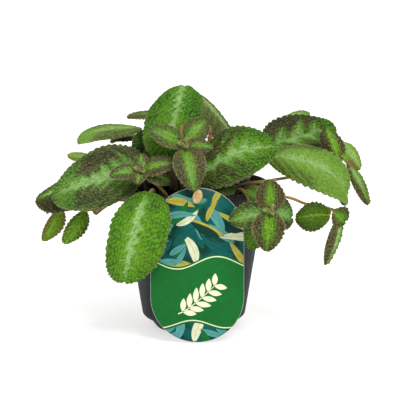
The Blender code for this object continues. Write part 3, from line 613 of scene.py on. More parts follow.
def midrib_at(midrib, u):
    """The polynomial curve through the midrib's points, spread evenly from stalk (0) to tip (1)."""
    knots = np.linspace(0.0, 1.0, len(midrib))
    total = np.zeros((len(u), 3))
    for i, point in enumerate(midrib):
        weight = np.ones(len(u))
        for j, knot in enumerate(knots):
            if j != i:
                weight = weight * (u - knot) / (knots[i] - knot)
        total += weight[:, None] * np.array(point, float)
    return total


def midrib_direction(midrib, u):
    """Unit direction of the midrib towards the tip."""
    step = 0.01
    return unit(midrib_at(midrib, u + step) - midrib_at(midrib, u - step))


def blade_base(blade, u, v):
    """The smooth blade on a grid of u along it and v across it, from -1 left rim to 1 right.

    The point is the midrib's, plus the half's own reach times |v| and the outline
    sin(pi u^0.86)^roundness, plus a dome 4|v|(1-|v|) that swells each half along the normal.
    """
    centre = midrib_at(blade.midrib, u)
    middle = midrib_at(blade.midrib, np.array([WIDEST]))[0]
    right = np.array(blade.right, float) - middle
    left = np.array(blade.left, float) - middle
    outline = np.sin(math.pi * u ** OUTLINE_POWER) ** blade.roundness
    normal = unit(np.cross(right - left, midrib_direction(blade.midrib, u)))
    across = np.abs(v)
    side = np.where(v[:, None] > 0.0, right, left)
    reach = across[None, :] * outline[:, None]
    points = centre[:, None, :] + reach[:, :, None] * side[None, :, :]
    dome = 4.0 * across * (1.0 - across) * np.linalg.norm(side, axis=1) * DOME
    points += (dome[None, :] * outline[:, None])[:, :, None] * normal[:, None, :]
    lateral = reach * np.linalg.norm(side, axis=1)[None, :]
    return points, lateral, side


def blade_relief(along, lateral, v, length, look, settings, seed):
    """Height of the quilting in millimetres, and how near each point is to a vein, to a lesser
    vein between two, to a crease and to the midrib.

    Side veins leave the midrib in pairs and bend towards the tip: a point's vein number is its
    distance along the midrib, less a lean times its distance from it and a curve times that
    squared, and less so where the look leans less. Between veins the tissue swells as a pillow,
    near the rim and away from the stalk it falls into ridges that run beside the veins, and all
    over stand domes, one to each scattered cell. Short leaves have closer veins and smaller domes.
    """
    vein_size = min(1.0, 0.35 + length / 110.0)
    dome_size = min(1.0, 0.72 + length / 250.0)
    spacing = settings.vein_spacing / MM * vein_size * look.spacing
    bend = settings.vein_lean * lateral + settings.vein_curve * lateral ** 2 / max(length, 30.0)
    bend = look.lean * bend
    sway = clouds(along / VEIN_SWAY_LENGTH, lateral / VEIN_SWAY_LENGTH, seed) - 0.5
    flow = along - bend + VEIN_SWAY * sway
    number = flow / spacing + np.where(v > 0.0, 0.5, 0.0)[None, :]
    vein = np.abs(2.0 * (number - np.floor(number)) - 1.0)
    size = settings.cell_size / MM * dome_size
    offset = np.where(v > 0.0, *HALF_OFFSETS)[None, :]
    near, second = cells(flow / size, lateral / (size * 1.2) + offset, seed)
    domes = np.clip(1.0 - near ** 2 * 1.1, 0.0, 1.0) * smooth(-0.05, 0.34, second - near)
    groove = smooth(0.80, 1.0, vein)
    rib = np.exp(-(lateral / RIB_WIDTH) ** 2)
    outer = smooth(0.15, 0.7, np.abs(v))[None, :] * smooth(0.0, 0.4, along / length)
    twist = RIDGE_SWAY * clouds(along / RIDGE_SWAY_LENGTH, lateral / RIDGE_SWAY_LENGTH, seed + 1)
    ridge = 0.5 + 0.5 * np.cos(math.tau * flow / (RIDGE_PITCH * size) + twist)
    pillow = (1.0 - vein ** 2) * smooth(0.0, 0.25, np.abs(v))[None, :]
    height = settings.pillow / MM * min(1.0, spacing / FULL_PILLOW_SPACING) * pillow
    height = height + settings.quilt / MM * (
        domes - GROOVE_SHARE * groove + RIDGE_SHARE * outer * (ridge - 0.5))
    height = height * (1.0 - 0.85 * rib) - RIB_DEPTH * rib
    # Crease is low in the creases and high on raised tissue; it becomes the painted shade and painted
    # light of the quilting.
    crease = domes * (1.0 - 0.5 * groove) * (1.0 - 0.85 * outer * (1.0 - ridge) ** 1.2)
    between = np.abs(2.0 * (2.0 * number + 0.5 - np.floor(2.0 * number + 0.5)) - 1.0)
    return height, vein, between, np.clip(0.08 + crease, 0.0, 1.0), rib


def blade_paint(look, u, v, lateral, along, vein, between, crease, rib, seed):
    """Shares of pale band, bronze, raised tissue and rim on a blade's upper face, and its bloom. The
    raised tissue share carries the painted light and shade of the quilting, and dims the band in
    the creases.

    The band is a share of the blade's half width, widest near the stalk, and its edge runs out in
    spikes along the side veins as far as the feather says. Bronze lies outside it, beyond a line
    that bends outwards at each vein in the same way, over the stretch of the midrib it covers,
    and fades in places to fingers of green along the veins. Soft noise roughens both edges. The
    bloom of pale down is strongest on the band towards the tip.
    """
    ragged = clouds(along / RAGGED_GRAIN, lateral / RAGGED_GRAIN, seed + 3)
    fine = clouds(along / FINE_GRAIN, lateral / FINE_GRAIN, seed + 6)
    broad = clouds(along / BROAD_GRAIN[0], lateral / BROAD_GRAIN[1], seed + 4)
    across = np.abs(v)[None, :] + 0.12 * (ragged - 0.5) + 0.08 * (fine - 0.5)
    taper = np.sin(math.pi * np.clip(u, 0.04, 0.97) ** 0.75)[:, None] ** 0.6
    spike = look.feather * (0.4 + 1.0 * broad) * taper
    lines = 0.42 * vein ** 7 + 0.2 * between ** 8 + 0.03 * (1.0 - crease)
    edge = look.band * taper * (0.7 + 0.5 * broad) + spike * lines * (0.6 + 0.8 * ragged)
    band = smooth(1.4, 0.3, across / np.maximum(edge, 0.03)) * (0.75 + 0.25 * crease)
    band = np.maximum(band, min(0.6, 5.0 * look.band) * rib * smooth(1.0, 0.75, u)[:, None])
    band = band * smooth(look.band_from - 0.15, look.band_from + 0.15, u)[:, None]
    start = look.brown_in + 0.45 * (broad - 0.5) + spike * (0.36 * vein ** 4 + 0.1 * between)
    brown = smooth(start - 0.12, start + 0.12, across)
    brown = brown * np.where(v > 0.0, look.brown_right, look.brown_left)[None, :]
    place = u[:, None] + 0.3 * (broad - 0.5) + 0.1 * (ragged - 0.5)
    window = smooth(look.brown_from - 0.1, look.brown_from + 0.1, place)
    window = window * smooth(look.brown_to + 0.1, look.brown_to - 0.1, place)
    fingers = smooth(0.35, 0.75, broad) * vein ** 2
    brown = brown * window * (0.85 + 0.3 * fine) * (1.0 - 0.55 * fingers)
    rim = smooth(0.91, 0.99, np.abs(v))[None, :] + 0.0 * lateral
    rim = rim * (1.0 if look.tone in DOWNY_TONES else PLAIN_RIM_SHARE)
    paint = np.stack([np.clip(band, 0.0, 1.0), np.clip(brown, 0.0, 1.0), crease, rim], axis=-1)
    outer = smooth(0.1, 0.7, u)[:, None]
    bloom = look.bloom * (0.4 * (0.5 + 0.5 * outer) * (0.5 + broad) + 2.0 * outer * band)
    return paint, np.clip(bloom * (0.7 + 0.6 * ragged), 0.0, 1.0)


def blade_faces(rows, columns):
    """Faces of a blade's upper grid, its lower grid and the fans round its base and its tip.

    The lower grid's own points follow the upper grid's and leave out both rims, which it shares.
    The base and the tip come last.
    """
    inner = columns - 2
    lower = np.empty((rows, columns), int)
    lower[:, 1:-1] = rows * columns + np.arange(rows * inner).reshape(rows, inner)
    lower[:, 0] = np.arange(rows) * columns
    lower[:, -1] = lower[:, 0] + columns - 1
    base = rows * (columns + inner)
    upper_row = np.arange(columns)
    return [grid_faces(rows, columns),
            lower.ravel()[grid_faces(rows, columns, flip=True)],
            fan(base, upper_row, flip=True), fan(base, lower[0]),
            fan(base + 1, upper_row + (rows - 1) * columns), fan(base + 1, lower[-1], flip=True)]


def add_blade(sheaf, blade, look, settings, seed, finish=0):
    """One leaf blade as a closed surface: quilted above, ribbed below, blunt teeth at the rim.

    The rim moves out and in along each half's reach with |sin| of its length over the tooth's
    pitch, and up and down a little with the same wave. The thickness fades to the rim as
    sqrt(1 - |v|^6), where the upper and the lower face share their points. Rows crowd towards
    stalk and tip, and columns towards the rims.
    """
    fine = np.linspace(0.0, 1.0, 200)
    steps = distances(midrib_at(blade.midrib, fine))
    length = steps[-1]
    middle = midrib_at(blade.midrib, np.array([WIDEST]))[0]
    half = 0.5 * (np.linalg.norm(np.array(blade.right) - middle)
                  + np.linalg.norm(np.array(blade.left) - middle))
    large = length + half > LARGE_LEAF
    pitch = settings.tooth_pitch / MM * (1.0 if large else SMALL_PITCH_SHARE)
    teeth = max(7, round(1.15 * length / pitch))
    rows = ROWS_PER_TOOTH * teeth + 1
    columns = 2 * round(half / (COLUMN_STEP_LARGE if large else COLUMN_STEP_SMALL)) + 1
    share = np.linspace(0.0, 1.0, rows + 2)[1:-1]
    u = share - STATION_EASE * np.sin(math.tau * share) / math.tau
    x = np.linspace(-1.0, 1.0, columns)
    v = 0.6 * x + 0.4 * np.sin(0.5 * math.pi * x)
    points, lateral, side = blade_base(blade, u, v)
    along = np.interp(u, fine, steps)[:, None] + 0.0 * lateral
    height, vein, between, crease, rib = blade_relief(
        along, lateral, v, length, look, settings, seed)
    normal = unit(np.cross(np.gradient(points, axis=1), np.gradient(points, axis=0)))

    across = np.abs(v)[None, :]
    wave = np.abs(np.sin(math.pi * share * teeth + np.where(v > 0.0, 0.6, 0.0)[:, None]))
    wave = wave.T ** 0.7 - 0.6
    depth = settings.tooth_depth / MM * (1.0 if large else SMALL_DEPTH_SHARE) * look.teeth
    ends = np.clip(3.0 * np.sin(math.pi * share), 0.0, 1.0)[:, None]
    sides = np.where(v > 0.0, 3.0, 8.0)[None, :]
    vary = clouds(along / 6.0, sides + 0.0 * lateral, seed + 21)
    lobe = clouds(along / LOBE_LENGTH, sides + 0.0 * lateral, seed + 22) - 0.5
    tooth = depth * wave * (0.6 + 0.8 * vary) * across ** 7 * ends
    tooth = tooth + LOBE_SHARE * half * lobe * across ** 3 * ends
    points = points + tooth[:, :, None] * unit(side)[None, :, :]
    billow = clouds(along / BILLOW_LENGTH, lateral / BILLOW_LENGTH, seed + 9) - 0.5
    lift = settings.ruffle / MM * (wave * across ** 5 * 0.9 + 2.0 * billow * across ** 2) * ends
    thickness = settings.blade_thickness / MM * np.sqrt(1.0 - across ** 6)
    fade = 1.0 - across ** 10
    raised = (lift + 0.5 * thickness + height * fade)[:, :, None] * normal
    sunk = (lift - 0.5 * thickness + 0.7 * height * fade - 0.8 * rib * ends)[:, :, None] * normal
    top = points + raised
    bottom = (points + sunk)[:, 1:-1]
    paint, bloom = blade_paint(look, u, v, lateral, along, vein, between, crease, rib, seed)

    lower_count = rows * (columns - 2)
    poles = midrib_at(blade.midrib, np.array([0.0, 1.0]))
    everything = np.concatenate([top.reshape(-1, 3), bottom.reshape(-1, 3), poles])
    under_paint = paint[:, 1:-1].reshape(-1, 4)
    colours = np.concatenate([paint.reshape(-1, 4), under_paint, np.zeros((2, 4))])
    under = np.concatenate([np.zeros(rows * columns), np.ones(lower_count), [0.5, 0.5]])
    bloom = np.concatenate([bloom.ravel(), np.zeros(lower_count + 2)])
    sheaf.add(everything, blade_faces(rows, columns), colours, under, bloom, finish)
    tan = 1.0 if look.tone in DOWNY_TONES else PLAIN_HAIR_SHARE
    add_rim_hairs(sheaf, top, side, settings, seed, tan)


def add_hairs(sheaf, roots, directions, lengths, radius, tan=1.0):
    """Fine hairs, each a slim pyramid on three points round its root."""
    count = len(roots)
    directions = unit(directions)
    sideways = unit(np.cross(directions, np.array([0.31, 0.67, 0.23])))
    other = np.cross(directions, sideways)
    feet = roots[:, None, :] + radius * circles(sideways, other, 3)
    tips = roots + directions * lengths[:, None]
    points = np.concatenate([feet, tips[:, None, :]], axis=1).reshape(-1, 3)
    start = np.arange(count)[:, None] * 4
    corners = [[0, 1, 3], [1, 2, 3], [2, 0, 3], [2, 1, 0]]
    faces = [start + np.array(corner)[None, :] for corner in corners]
    sheaf.add(points, faces, (0.0, 0.0, 0.5, tan), finish=1)


def add_rim_hairs(sheaf, top, side, settings, seed, tan):
    """Down along both rims, which leans outwards. Tan is the share of its darker colour."""
    rng = np.random.default_rng(seed)
    for column, outward in ((0, unit(side)[0]), (-1, unit(side)[-1])):
        rim = top[:, column]
        steps = distances(rim)
        count = int(steps[-1] * settings.hair_density)
        places = np.sort(rng.uniform(0.0, steps[-1], count))
        roots = np.stack([np.interp(places, steps, rim[:, k]) for k in range(3)], axis=-1)
        rows = np.clip(np.searchsorted(steps, places), 1, len(rim) - 1)
        ahead = unit(rim[rows] - rim[rows - 1])
        away = unit(outward[None, :] - (ahead @ outward)[:, None] * ahead)
        spread = rng.normal(0.0, 0.35, (count, 3))
        lengths = settings.hair_length / MM * rng.uniform(0.5, 1.1, count)
        add_hairs(sheaf, roots, away + spread, lengths, settings.hair_radius / MM, tan)


def smooth_path(points, step):
    """Catmull-Rom curve through points, read at about even steps."""
    points = np.asarray(points, float)
    padded = np.concatenate([points[:1], points, points[-1:]])
    count = len(points) - 1
    steps = distances(points)
    amount = max(4, int(steps[-1] / step))
    place = np.interp(np.linspace(0.0, steps[-1], amount), steps, np.arange(count + 1))
    index = np.minimum(place.astype(int), count - 1)
    t = (place - index)[:, None]
    a, b, c, d = (padded[index + k] for k in range(4))
    return 0.5 * (2 * b + (c - a) * t + (2 * a - 5 * b + 4 * c - d) * t ** 2
                  + (3 * b - a - 3 * c + d) * t ** 3)


def add_tube(sheaf, path, radii, settings, seed, tint):
    """A round stalk: a ring of points carried along a path, closed by a pole at each end, hairy.

    The ring stands across the path on two directions worked out from the one direction that the
    whole path keeps nearest to square with. Tint is the share of tan. The stalk gets painted shade
    near the soil in the middle of the pot, away from the front, where the leaves shade it, and
    turns green as the last part nears the blade.
    """
    path = np.asarray(path, float)
    rows = len(path)
    tangent = unit(np.gradient(path, axis=0))
    across = np.linalg.svd(tangent, full_matrices=True)[2][-1]
    first = unit(np.cross(tangent, across))
    ring = circles(first, np.cross(tangent, first), TUBE_SIDES)
    number = np.arange(rows)
    wobble = 1.0 + TUBE_WOBBLE * (clouds(number / 3.0, 0.0 * number, seed) - 0.5)
    radii = np.asarray(radii) * wobble
    points = path[:, None, :] + radii[:, None, None] * ring
    everything = np.concatenate([points.reshape(-1, 3), path[:1], path[-1:]])
    # Painted shade: darkest near the soil, towards the pot's axis and away from the front.
    shade = smooth(*SHADE_HEIGHTS, everything[:, 2] - SOIL_EDGE_HEIGHT)
    shade = shade * smooth(*SHADE_RADII, np.hypot(everything[:, 0], everything[:, 1]))
    shade = shade * smooth(*SHADE_FRONT, everything[:, 1])
    place = np.concatenate([np.repeat(number, TUBE_SIDES), [0.0, rows - 1.0]]) / rows
    paint = np.stack([tint * smooth(1.0, 0.8, place), shade, 0.5 + 0.0 * shade,
                      smooth(0.7, 0.9, place)], axis=-1)
    sheaf.add(everything, capped_faces(rows, TUBE_SIDES), paint, finish=2)
    rng = np.random.default_rng(seed)
    count = int(distances(path)[-1] * settings.hair_density * STALK_HAIR_SHARE)
    spots = (rng.integers(0, rows, count), rng.integers(0, TUBE_SIDES, count))
    outward = ring[spots] + rng.normal(0.0, 0.25, (count, 3))
    lengths = settings.hair_length / MM * rng.uniform(0.4, 0.9, count)
    add_hairs(sheaf, points[spots], outward, lengths, settings.hair_radius / MM)


def soil_height(x, y):
    """Height of the soil's lumpy mound: a low dome plus two sines, level at the pot's wall."""
    reach = wall_radius(SOIL_EDGE_HEIGHT)
    radius = np.hypot(x, y) / reach
    mound = SOIL_MOUND * (1.0 - radius ** 2)
    lumps = np.sin(x * 0.23 + 1.3) * np.cos(y * 0.19 + 0.4)
    fine = np.sin(x * 0.51 + y * 0.37)
    return SOIL_EDGE_HEIGHT + mound + SOIL_LUMP * (0.65 * lumps + 0.35 * fine) * (1.0 - radius ** 4)


def wall_radius(height):
    """Outer radius of the pot's sloping wall at a height, from the solid's own box."""
    low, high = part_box("pot")
    top = (high.x - low.x) / MM / 2 - LIP_OVERHANG
    share = (height - SHOULDER_HEIGHT) / (high.z / MM - SHOULDER_HEIGHT)
    return SHOULDER_RADIUS + (top - SHOULDER_RADIUS) * share


def stalk_path(leaf):
    """Stalk from its hole, up out of the soil and on a Bezier curve under the midrib's start."""
    x, y = leaf.root
    start = np.array([x, y, soil_height(x, y) + STALK_CLEAR_OF_SOIL])
    end = np.array(leaf.blade.midrib[0], float)
    direction = midrib_direction(leaf.blade.midrib, np.array([STALK_JOINT]))[0]
    bow = STALK_BOW * np.linalg.norm(end - start)
    t = np.linspace(0.0, 1.0, 24)[:, None]
    lift = start + np.array([0.0, 0.0, bow])
    lead = end - direction * bow
    curve = (1 - t) ** 3 * start + 3 * t * (1 - t) ** 2 * lift
    curve = curve + 3 * t ** 2 * (1 - t) * lead + t ** 3 * end
    foot = np.array([[x, y, ROOT_DEPTH_HEIGHT]])
    curve = curve - t ** 4 * STALK_SINK * blade_normal(leaf.blade, STALK_JOINT)
    return np.concatenate([foot, curve, under_midrib(leaf.blade)])


def blade_normal(blade, place):
    """Unit direction square to a blade, at a place along its midrib."""
    side = np.array(blade.right, float) - np.array(blade.left, float)
    return unit(np.cross(side, midrib_direction(blade.midrib, np.array([place]))))[0]


def under_midrib(blade):
    """End of a stalk, a little way along the blade and just below its midrib."""
    spot = midrib_at(blade.midrib, np.array([STALK_REACH]))
    return spot - STALK_SINK * blade_normal(blade, STALK_REACH)


def leaflet_blade(rosette, leaflet):
    """Blade of a rosette's leaflet, from its angle, size, lift and droop."""
    facing = unit(np.array(rosette.facing))
    right = unit(np.cross(np.array([0.0, 0.0, 1.0]), facing))
    up = np.cross(facing, right)
    angle = math.radians(leaflet.angle)
    flat = right * math.sin(angle) + up * math.cos(angle)
    lift = math.radians(leaflet.lift)
    along = flat * math.cos(lift) + facing * math.sin(lift)
    above = facing * math.cos(lift) - flat * math.sin(lift)
    side = np.cross(along, above)
    centre = np.array(rosette.centre) + facing * (LEAFLET_LAYER * leaflet.lift)
    start = centre + along * LEAFLET_START
    droop = leaflet.droop * leaflet.length
    middle = start + along * (0.5 * leaflet.length) + above * (0.5 * droop)
    tip = start + along * leaflet.length - above * droop
    half = side * (0.5 * leaflet.width)
    wide = midrib_at([start, middle, tip], np.array([WIDEST]))[0]
    wide = wide + above * (LEAFLET_CUP * leaflet.width)
    return Blade([start, middle, tip], wide + half, wide - half)


class Shader:
    """A Principled material and short calls for the nodes that its colour and bump use."""

    def __init__(self, name, roughness, **sockets):
        self.material = bpy.data.materials.new(name)
        self.material.use_nodes = True
        self.tree = self.material.node_tree
        self.surface = self.tree.nodes["Principled BSDF"]
        for socket, value in {"Roughness": roughness, **sockets}.items():
            self.put(value, self.surface.inputs[socket.replace("_", " ")])

    def put(self, value, socket):
        """Link a socket, or set a number or colour, on an input."""
        if isinstance(value, bpy.types.NodeSocket):
            self.tree.links.new(value, socket)
        elif socket.type == "RGBA":
            socket.default_value = (*value, 1.0)
        else:
            socket.default_value = value

    def attribute(self, name):
        """A node that reads one of the piece's own attributes."""
        node = self.tree.nodes.new("ShaderNodeAttribute")
        node.attribute_name = name
        return node

    def split(self, colour):
        """Red, green and blue of a colour, or x, y and z of a place."""
        node = self.tree.nodes.new("ShaderNodeSeparateColor")
        self.put(colour, node.inputs[0])
        return node.outputs[0], node.outputs[1], node.outputs[2]

    def mix(self, share, first, second):
        """A share of the second of two colours in the first."""
        node = self.tree.nodes.new("ShaderNodeMix")
        node.data_type = "RGBA"
        self.put(share, node.inputs["Factor"])
        self.put(first, node.inputs[6])
        self.put(second, node.inputs[7])
        return node.outputs[2]

    def math(self, operation, first, second=0.0, third=0.0):
        """Arithmetic on one to three numbers."""
        node = self.tree.nodes.new("ShaderNodeMath")
        node.operation = operation
        for value, socket in zip((first, second, third), node.inputs):
            self.put(value, socket)
        return node.outputs[0]

    def times(self, first, second):
        """The product of two numbers."""
        return self.math("MULTIPLY", first, second)

    def ease(self, value, low, high):
        """How far a value is on its way from low to high, from 0 to 1 and eased at both ends."""
        node = self.tree.nodes.new("ShaderNodeMapRange")
        node.interpolation_type = "SMOOTHSTEP"
        self.put(value, node.inputs["Value"])
        self.put(low, node.inputs["From Min"])
        self.put(high, node.inputs["From Max"])
        return node.outputs[0]

    def place(self, stretch=(1.0, 1.0, 1.0), centre=(0.0, 0.0, 0.0), turn=(0.0, 0.0, 0.0)):
        """Object coordinates in metres, centred, turned and stretched."""
        where = self.tree.nodes.new("ShaderNodeTexCoord")
        mapping = self.tree.nodes.new("ShaderNodeMapping")
        mapping.vector_type = "TEXTURE"
        mapping.inputs["Location"].default_value = centre
        mapping.inputs["Rotation"].default_value = turn
        mapping.inputs["Scale"].default_value = stretch
        self.tree.links.new(where.outputs["Object"], mapping.inputs["Vector"])
        return mapping.outputs[0]

    def noise(self, scale, detail=3.0, where=None):
        """Noise from 0 to 1 whose grains are about one over scale of the coordinates' unit."""
        node = self.tree.nodes.new("ShaderNodeTexNoise")
        self.put(scale, node.inputs["Scale"])
        self.put(detail, node.inputs["Detail"])
        self.put(where or self.place(), node.inputs["Vector"])
        return node.outputs[0]

    def bump(self, height, strength, distance):
        """Raise the surface's shading by a height."""
        node = self.tree.nodes.new("ShaderNodeBump")
        self.put(strength, node.inputs["Strength"])
        self.put(distance, node.inputs["Distance"])
        self.put(height, node.inputs["Height"])
        self.tree.links.new(node.outputs[0], self.surface.inputs["Normal"])

    def colour(self, value):
        """Send a colour to the surface."""
        self.put(value, self.surface.inputs["Base Color"])
        return self.material


def leaf_material(name, tone, palette):
    """Velvety leaf: greens, bronze and pale band by the painted shares, with fine down, painted light
    on raised tissue and painted shade in the creases.
    """
    shader = Shader(name, 0.65, Sheen_Weight=0.05, Sheen_Roughness=0.4, Sheen_Tint=palette.down,
                    Specular_IOR_Level=0.12)
    paint = shader.attribute("paint")
    band, brown, raised = shader.split(paint.outputs["Color"])
    rim = paint.outputs["Alpha"]
    under = shader.attribute("under").outputs["Fac"]
    grain = shader.noise(1500.0, 2.0)
    # Painted light and shade of the quilting: the share of raised tissue, with a little noise, mixes
    # each colour from its shaded crease colour up to its lit one.
    lit = shader.math("ADD", raised, shader.math("MULTIPLY_ADD", grain, 0.5, -0.25))
    lit = shader.ease(lit, 0.05, 0.8)
    own = {field: getattr(palette, colour) for field, colour in tone._asdict().items()}
    green = shader.mix(lit, own["green_deep"], own["green"])
    bronze = shader.mix(lit, own["brown_deep"], own["brown"])
    pale = shader.mix(lit, own["pale_deep"], own["pale"])
    ripe = shader.times(shader.ease(shader.noise(55.0, 2.0), 0.45, 0.75), 0.2)
    green = shader.mix(ripe, green, palette.ripe)
    # Painted highlights: pale glints on the tops of raised bronze tissue, in the bloom colour.
    glint = shader.times(shader.ease(lit, 0.7, 1.0),
                         shader.ease(shader.noise(1100.0, 2.0), 0.5, 0.66))
    bronze = shader.mix(shader.times(glint, 0.22), bronze, palette.bloom)
    colour = shader.mix(brown, green, bronze)
    colour = shader.mix(band, colour, pale)
    bloom = shader.attribute("bloom").outputs["Fac"]
    colour = shader.mix(bloom, colour, palette.bloom)
    colour = shader.mix(shader.times(rim, 0.6), colour, palette.rim_down)
    # The lower face likewise: painted shade in its creases, painted light on its raised tissue.
    below = shader.mix(lit, palette.under_deep, own["under"])
    blush = shader.math("MAXIMUM", shader.times(brown, 0.6), rim)
    below = shader.mix(shader.times(blush, 0.7), below, palette.blush)
    colour = shader.mix(under, colour, below)
    shader.bump(shader.noise(2600.0, 3.0), 0.5, 0.0004)
    return shader.colour(colour)


def hair_material(name, palette):
    """Pale down, tan in patches by the share that its paint holds."""
    shader = Shader(name, 0.5, Sheen_Weight=0.3)
    tan = shader.attribute("paint").outputs["Alpha"]
    tan = shader.times(tan, shader.ease(shader.noise(300.0, 2.0), 0.2, 0.6))
    return shader.colour(shader.mix(tan, palette.down, palette.rim_down))


def stalk_material(name, palette):
    """Fleshy stalk, olive turning tan in patches, with painted shade at its foot deep in the plant,
    and its buds.
    """
    shader = Shader(name, 0.55, Sheen_Weight=0.05)
    patches = shader.ease(shader.noise(45.0, 3.0), 0.38, 0.62)
    paint = shader.attribute("paint")
    tint, shade, bud = shader.split(paint.outputs["Color"])
    share = shader.math("MAXIMUM", shader.times(patches, 0.25), tint)
    young = shader.times(paint.outputs["Alpha"], 0.7)
    olive = shader.mix(young, palette.stalk_olive, palette.leaf_green)
    colour = shader.mix(share, olive, palette.stalk_tan)
    # Painted shade near the soil, deep in the plant.
    colour = shader.mix(shader.times(shade, 0.9), colour, palette.stalk_foot_shade)
    colour = shader.mix(shader.ease(bud, 0.7, 0.9), colour, palette.bud)
    shader.bump(shader.noise(1200.0, 3.0), 0.4, 0.0003)
    return shader.colour(colour)


def colour_property(name, description, colour):
    """A colour that a user may change."""
    return bpy.props.FloatVectorProperty(
        name=name, description=description, default=linear(*colour), subtype="COLOR", size=3,
        min=0.0, max=1.0)


def length_property(name, description, millimetres):
    """A length that a user may change."""
    return bpy.props.FloatProperty(
        name=name, description=description, default=millimetres * MM, min=0.0, unit="LENGTH",
        precision=5)


class VioletLeafSettings(bpy.types.PropertyGroup):
    """Sizes of the leaves' quilting, teeth and down, and the colours of leaves and stalks."""

    vein_spacing: length_property("Vein spacing", "Distance between side veins", 7.4)
    vein_lean: bpy.props.FloatProperty(
        name="Vein lean", description="How far a side vein leans to the tip", default=0.55)
    vein_curve: bpy.props.FloatProperty(
        name="Vein curve", description="How much a side vein bends to the tip", default=0.9)
    cell_size: length_property("Cell size", "Width of one quilted dome", 2.15)
    quilt: length_property("Quilting", "Height of the quilted domes", 0.65)
    pillow: length_property("Pillows", "Height of the tissue between two side veins", 0.8)
    tooth_pitch: length_property("Tooth pitch", "Distance between the rim's teeth", 3.7)
    tooth_depth: length_property("Tooth depth", "How far a tooth stands out", 1.35)
    ruffle: length_property("Ruffle", "How far the rim waves up and down", 0.9)
    blade_thickness: length_property("Blade thickness", "Thickness of a blade", 0.75)
    hair_length: length_property("Hair length", "Length of the down", 1.3)
    hair_radius: length_property("Hair radius", "Half width of a hair at its root", 0.065)
    hair_density: bpy.props.FloatProperty(
        name="Hair density", description="Hairs to a millimetre of rim", default=2.6)
    # Each crease colour below is painted shade in the quilting's creases, and the colour beside it is
    # painted light on raised tissue.
    bright_green: colour_property("Bright green", "Leaf in full light", (84, 134, 18))
    bright_deep: colour_property("Bright green crease", "Its creases", (40, 82, 4))
    fresh_green: colour_property("Fresh green", "Bright young leaf", (68, 120, 14))
    fresh_deep: colour_property("Fresh green crease", "Creases of a bright leaf", (20, 52, 2))
    leaf_green: colour_property("Leaf green", "Mature leaf", (78, 126, 20))
    leaf_deep: colour_property("Leaf green crease", "Creases of a mature leaf", (28, 58, 8))
    dull_green: colour_property("Dull green", "Mature leaf under down", (84, 130, 42))
    dull_deep: colour_property("Dull green crease", "Its creases", (32, 60, 16))
    misty_green: colour_property("Misty green", "Leaf under a silver bloom", (106, 146, 46))
    misty_deep: colour_property("Misty green crease", "Creases under a bloom", (78, 114, 32))
    shade_green: colour_property("Shaded green", "Leaf deep in the plant", (56, 92, 18))
    shade_deep: colour_property("Shaded green crease", "Its creases", (28, 50, 8))
    moss_green: colour_property("Moss green", "Round leaf of a runner", (68, 98, 4))
    moss_deep: colour_property("Moss green crease", "Its creases", (34, 54, 2))
    olive_green: colour_property("Olive green", "Dusky leaf", (86, 104, 50))
    olive_deep: colour_property("Olive crease", "Creases of a dusky leaf", (54, 66, 28))
    bronze: colour_property("Bronze", "Brown patches", (72, 68, 36))
    bronze_grey: colour_property("Bronze under down", "Brown patches under down", (92, 85, 46))
    bronze_grey_deep: colour_property("Downy bronze crease", "Their creases", (34, 32, 18))
    bronze_deep: colour_property("Bronze crease", "Creases of brown patches", (20, 20, 8))
    silver: colour_property("Silver", "Pale midrib band", (140, 174, 104))
    silver_deep: colour_property("Silver crease", "Creases of the pale band", (98, 138, 62))
    lime: colour_property("Lime", "Centre stripe of young leaves", (120, 164, 44))
    lime_deep: colour_property("Lime crease", "Creases of a lime stripe", (66, 112, 18))
    under_green: colour_property("Underside", "Lower face of a leaf", (132, 150, 66))
    under_rose: colour_property("Rosy underside", "Lower face of a young leaf", (150, 110, 80))
    blush: colour_property("Blush", "Rosy rim of the lower face", (142, 84, 62))
    under_deep: colour_property("Underside crease", "Creases of the lower face", (80, 84, 34))
    ripe: colour_property("Ripe green", "Yellower patches of a blade", (118, 140, 36))
    rim_down: colour_property("Rim down", "Down along the rim", (162, 140, 102))
    bloom: colour_property("Bloom", "Pale down over a blade", (150, 172, 126))
    down: colour_property("Down", "Pale down", (198, 204, 160))
    stalk_olive: colour_property("Olive stalk", "Stalk", (132, 126, 44))
    stalk_tan: colour_property("Tan stalk", "Older stalk", (146, 90, 42))
    # Painted shade of stalks near the soil deep in the plant.
    stalk_foot_shade: colour_property("Stalk foot", "Stalk near the soil", (36, 24, 12))
    bud: colour_property("Bud", "Flower bud", (138, 84, 14))


class VioletPotSettings(bpy.types.PropertyGroup):
    """Finish of the pot and of the soil in it."""

    steps: bpy.props.IntProperty(
        name="Steps", description="Sides of the turned wall", default=144, min=24)
    plastic: colour_property("Plastic", "Pot", (29, 33, 35))
    plastic_light: colour_property("Plastic streaks", "Paler streaks", (46, 50, 52))
    soil: colour_property("Soil", "Peat", (7, 5, 3))
    soil_light: colour_property("Dry soil", "Dry crumbs", (24, 17, 9))
    dust: colour_property("Peat dust", "Peat on the pot's rim", (30, 23, 8))
    crumbs: bpy.props.IntProperty(
        name="Crumbs", description="Loose crumbs on the soil", default=520, min=0)


class VioletCardSettings(bpy.types.PropertyGroup):
    """Colours of the card's print and of the wooden pin."""

    teal: colour_property("Teal", "Dark leaves of the print", (4, 88, 84))
    pine: colour_property("Pine", "Darkest leaves of the print", (4, 50, 36))
    aqua: colour_property("Aqua", "Pale leaves of the print", (84, 156, 150))
    gold: colour_property("Gold", "Yellow leaves of the print", (186, 174, 64))
    field: colour_property("Field", "Plain green field of the print", (18, 108, 38))
    cream: colour_property("Cream", "Drawn sprig", (226, 230, 190))
    wood: colour_property("Wood", "Pin head", (206, 178, 118))
    wood_ring: colour_property("Wood rings", "Growth rings", (178, 142, 86))


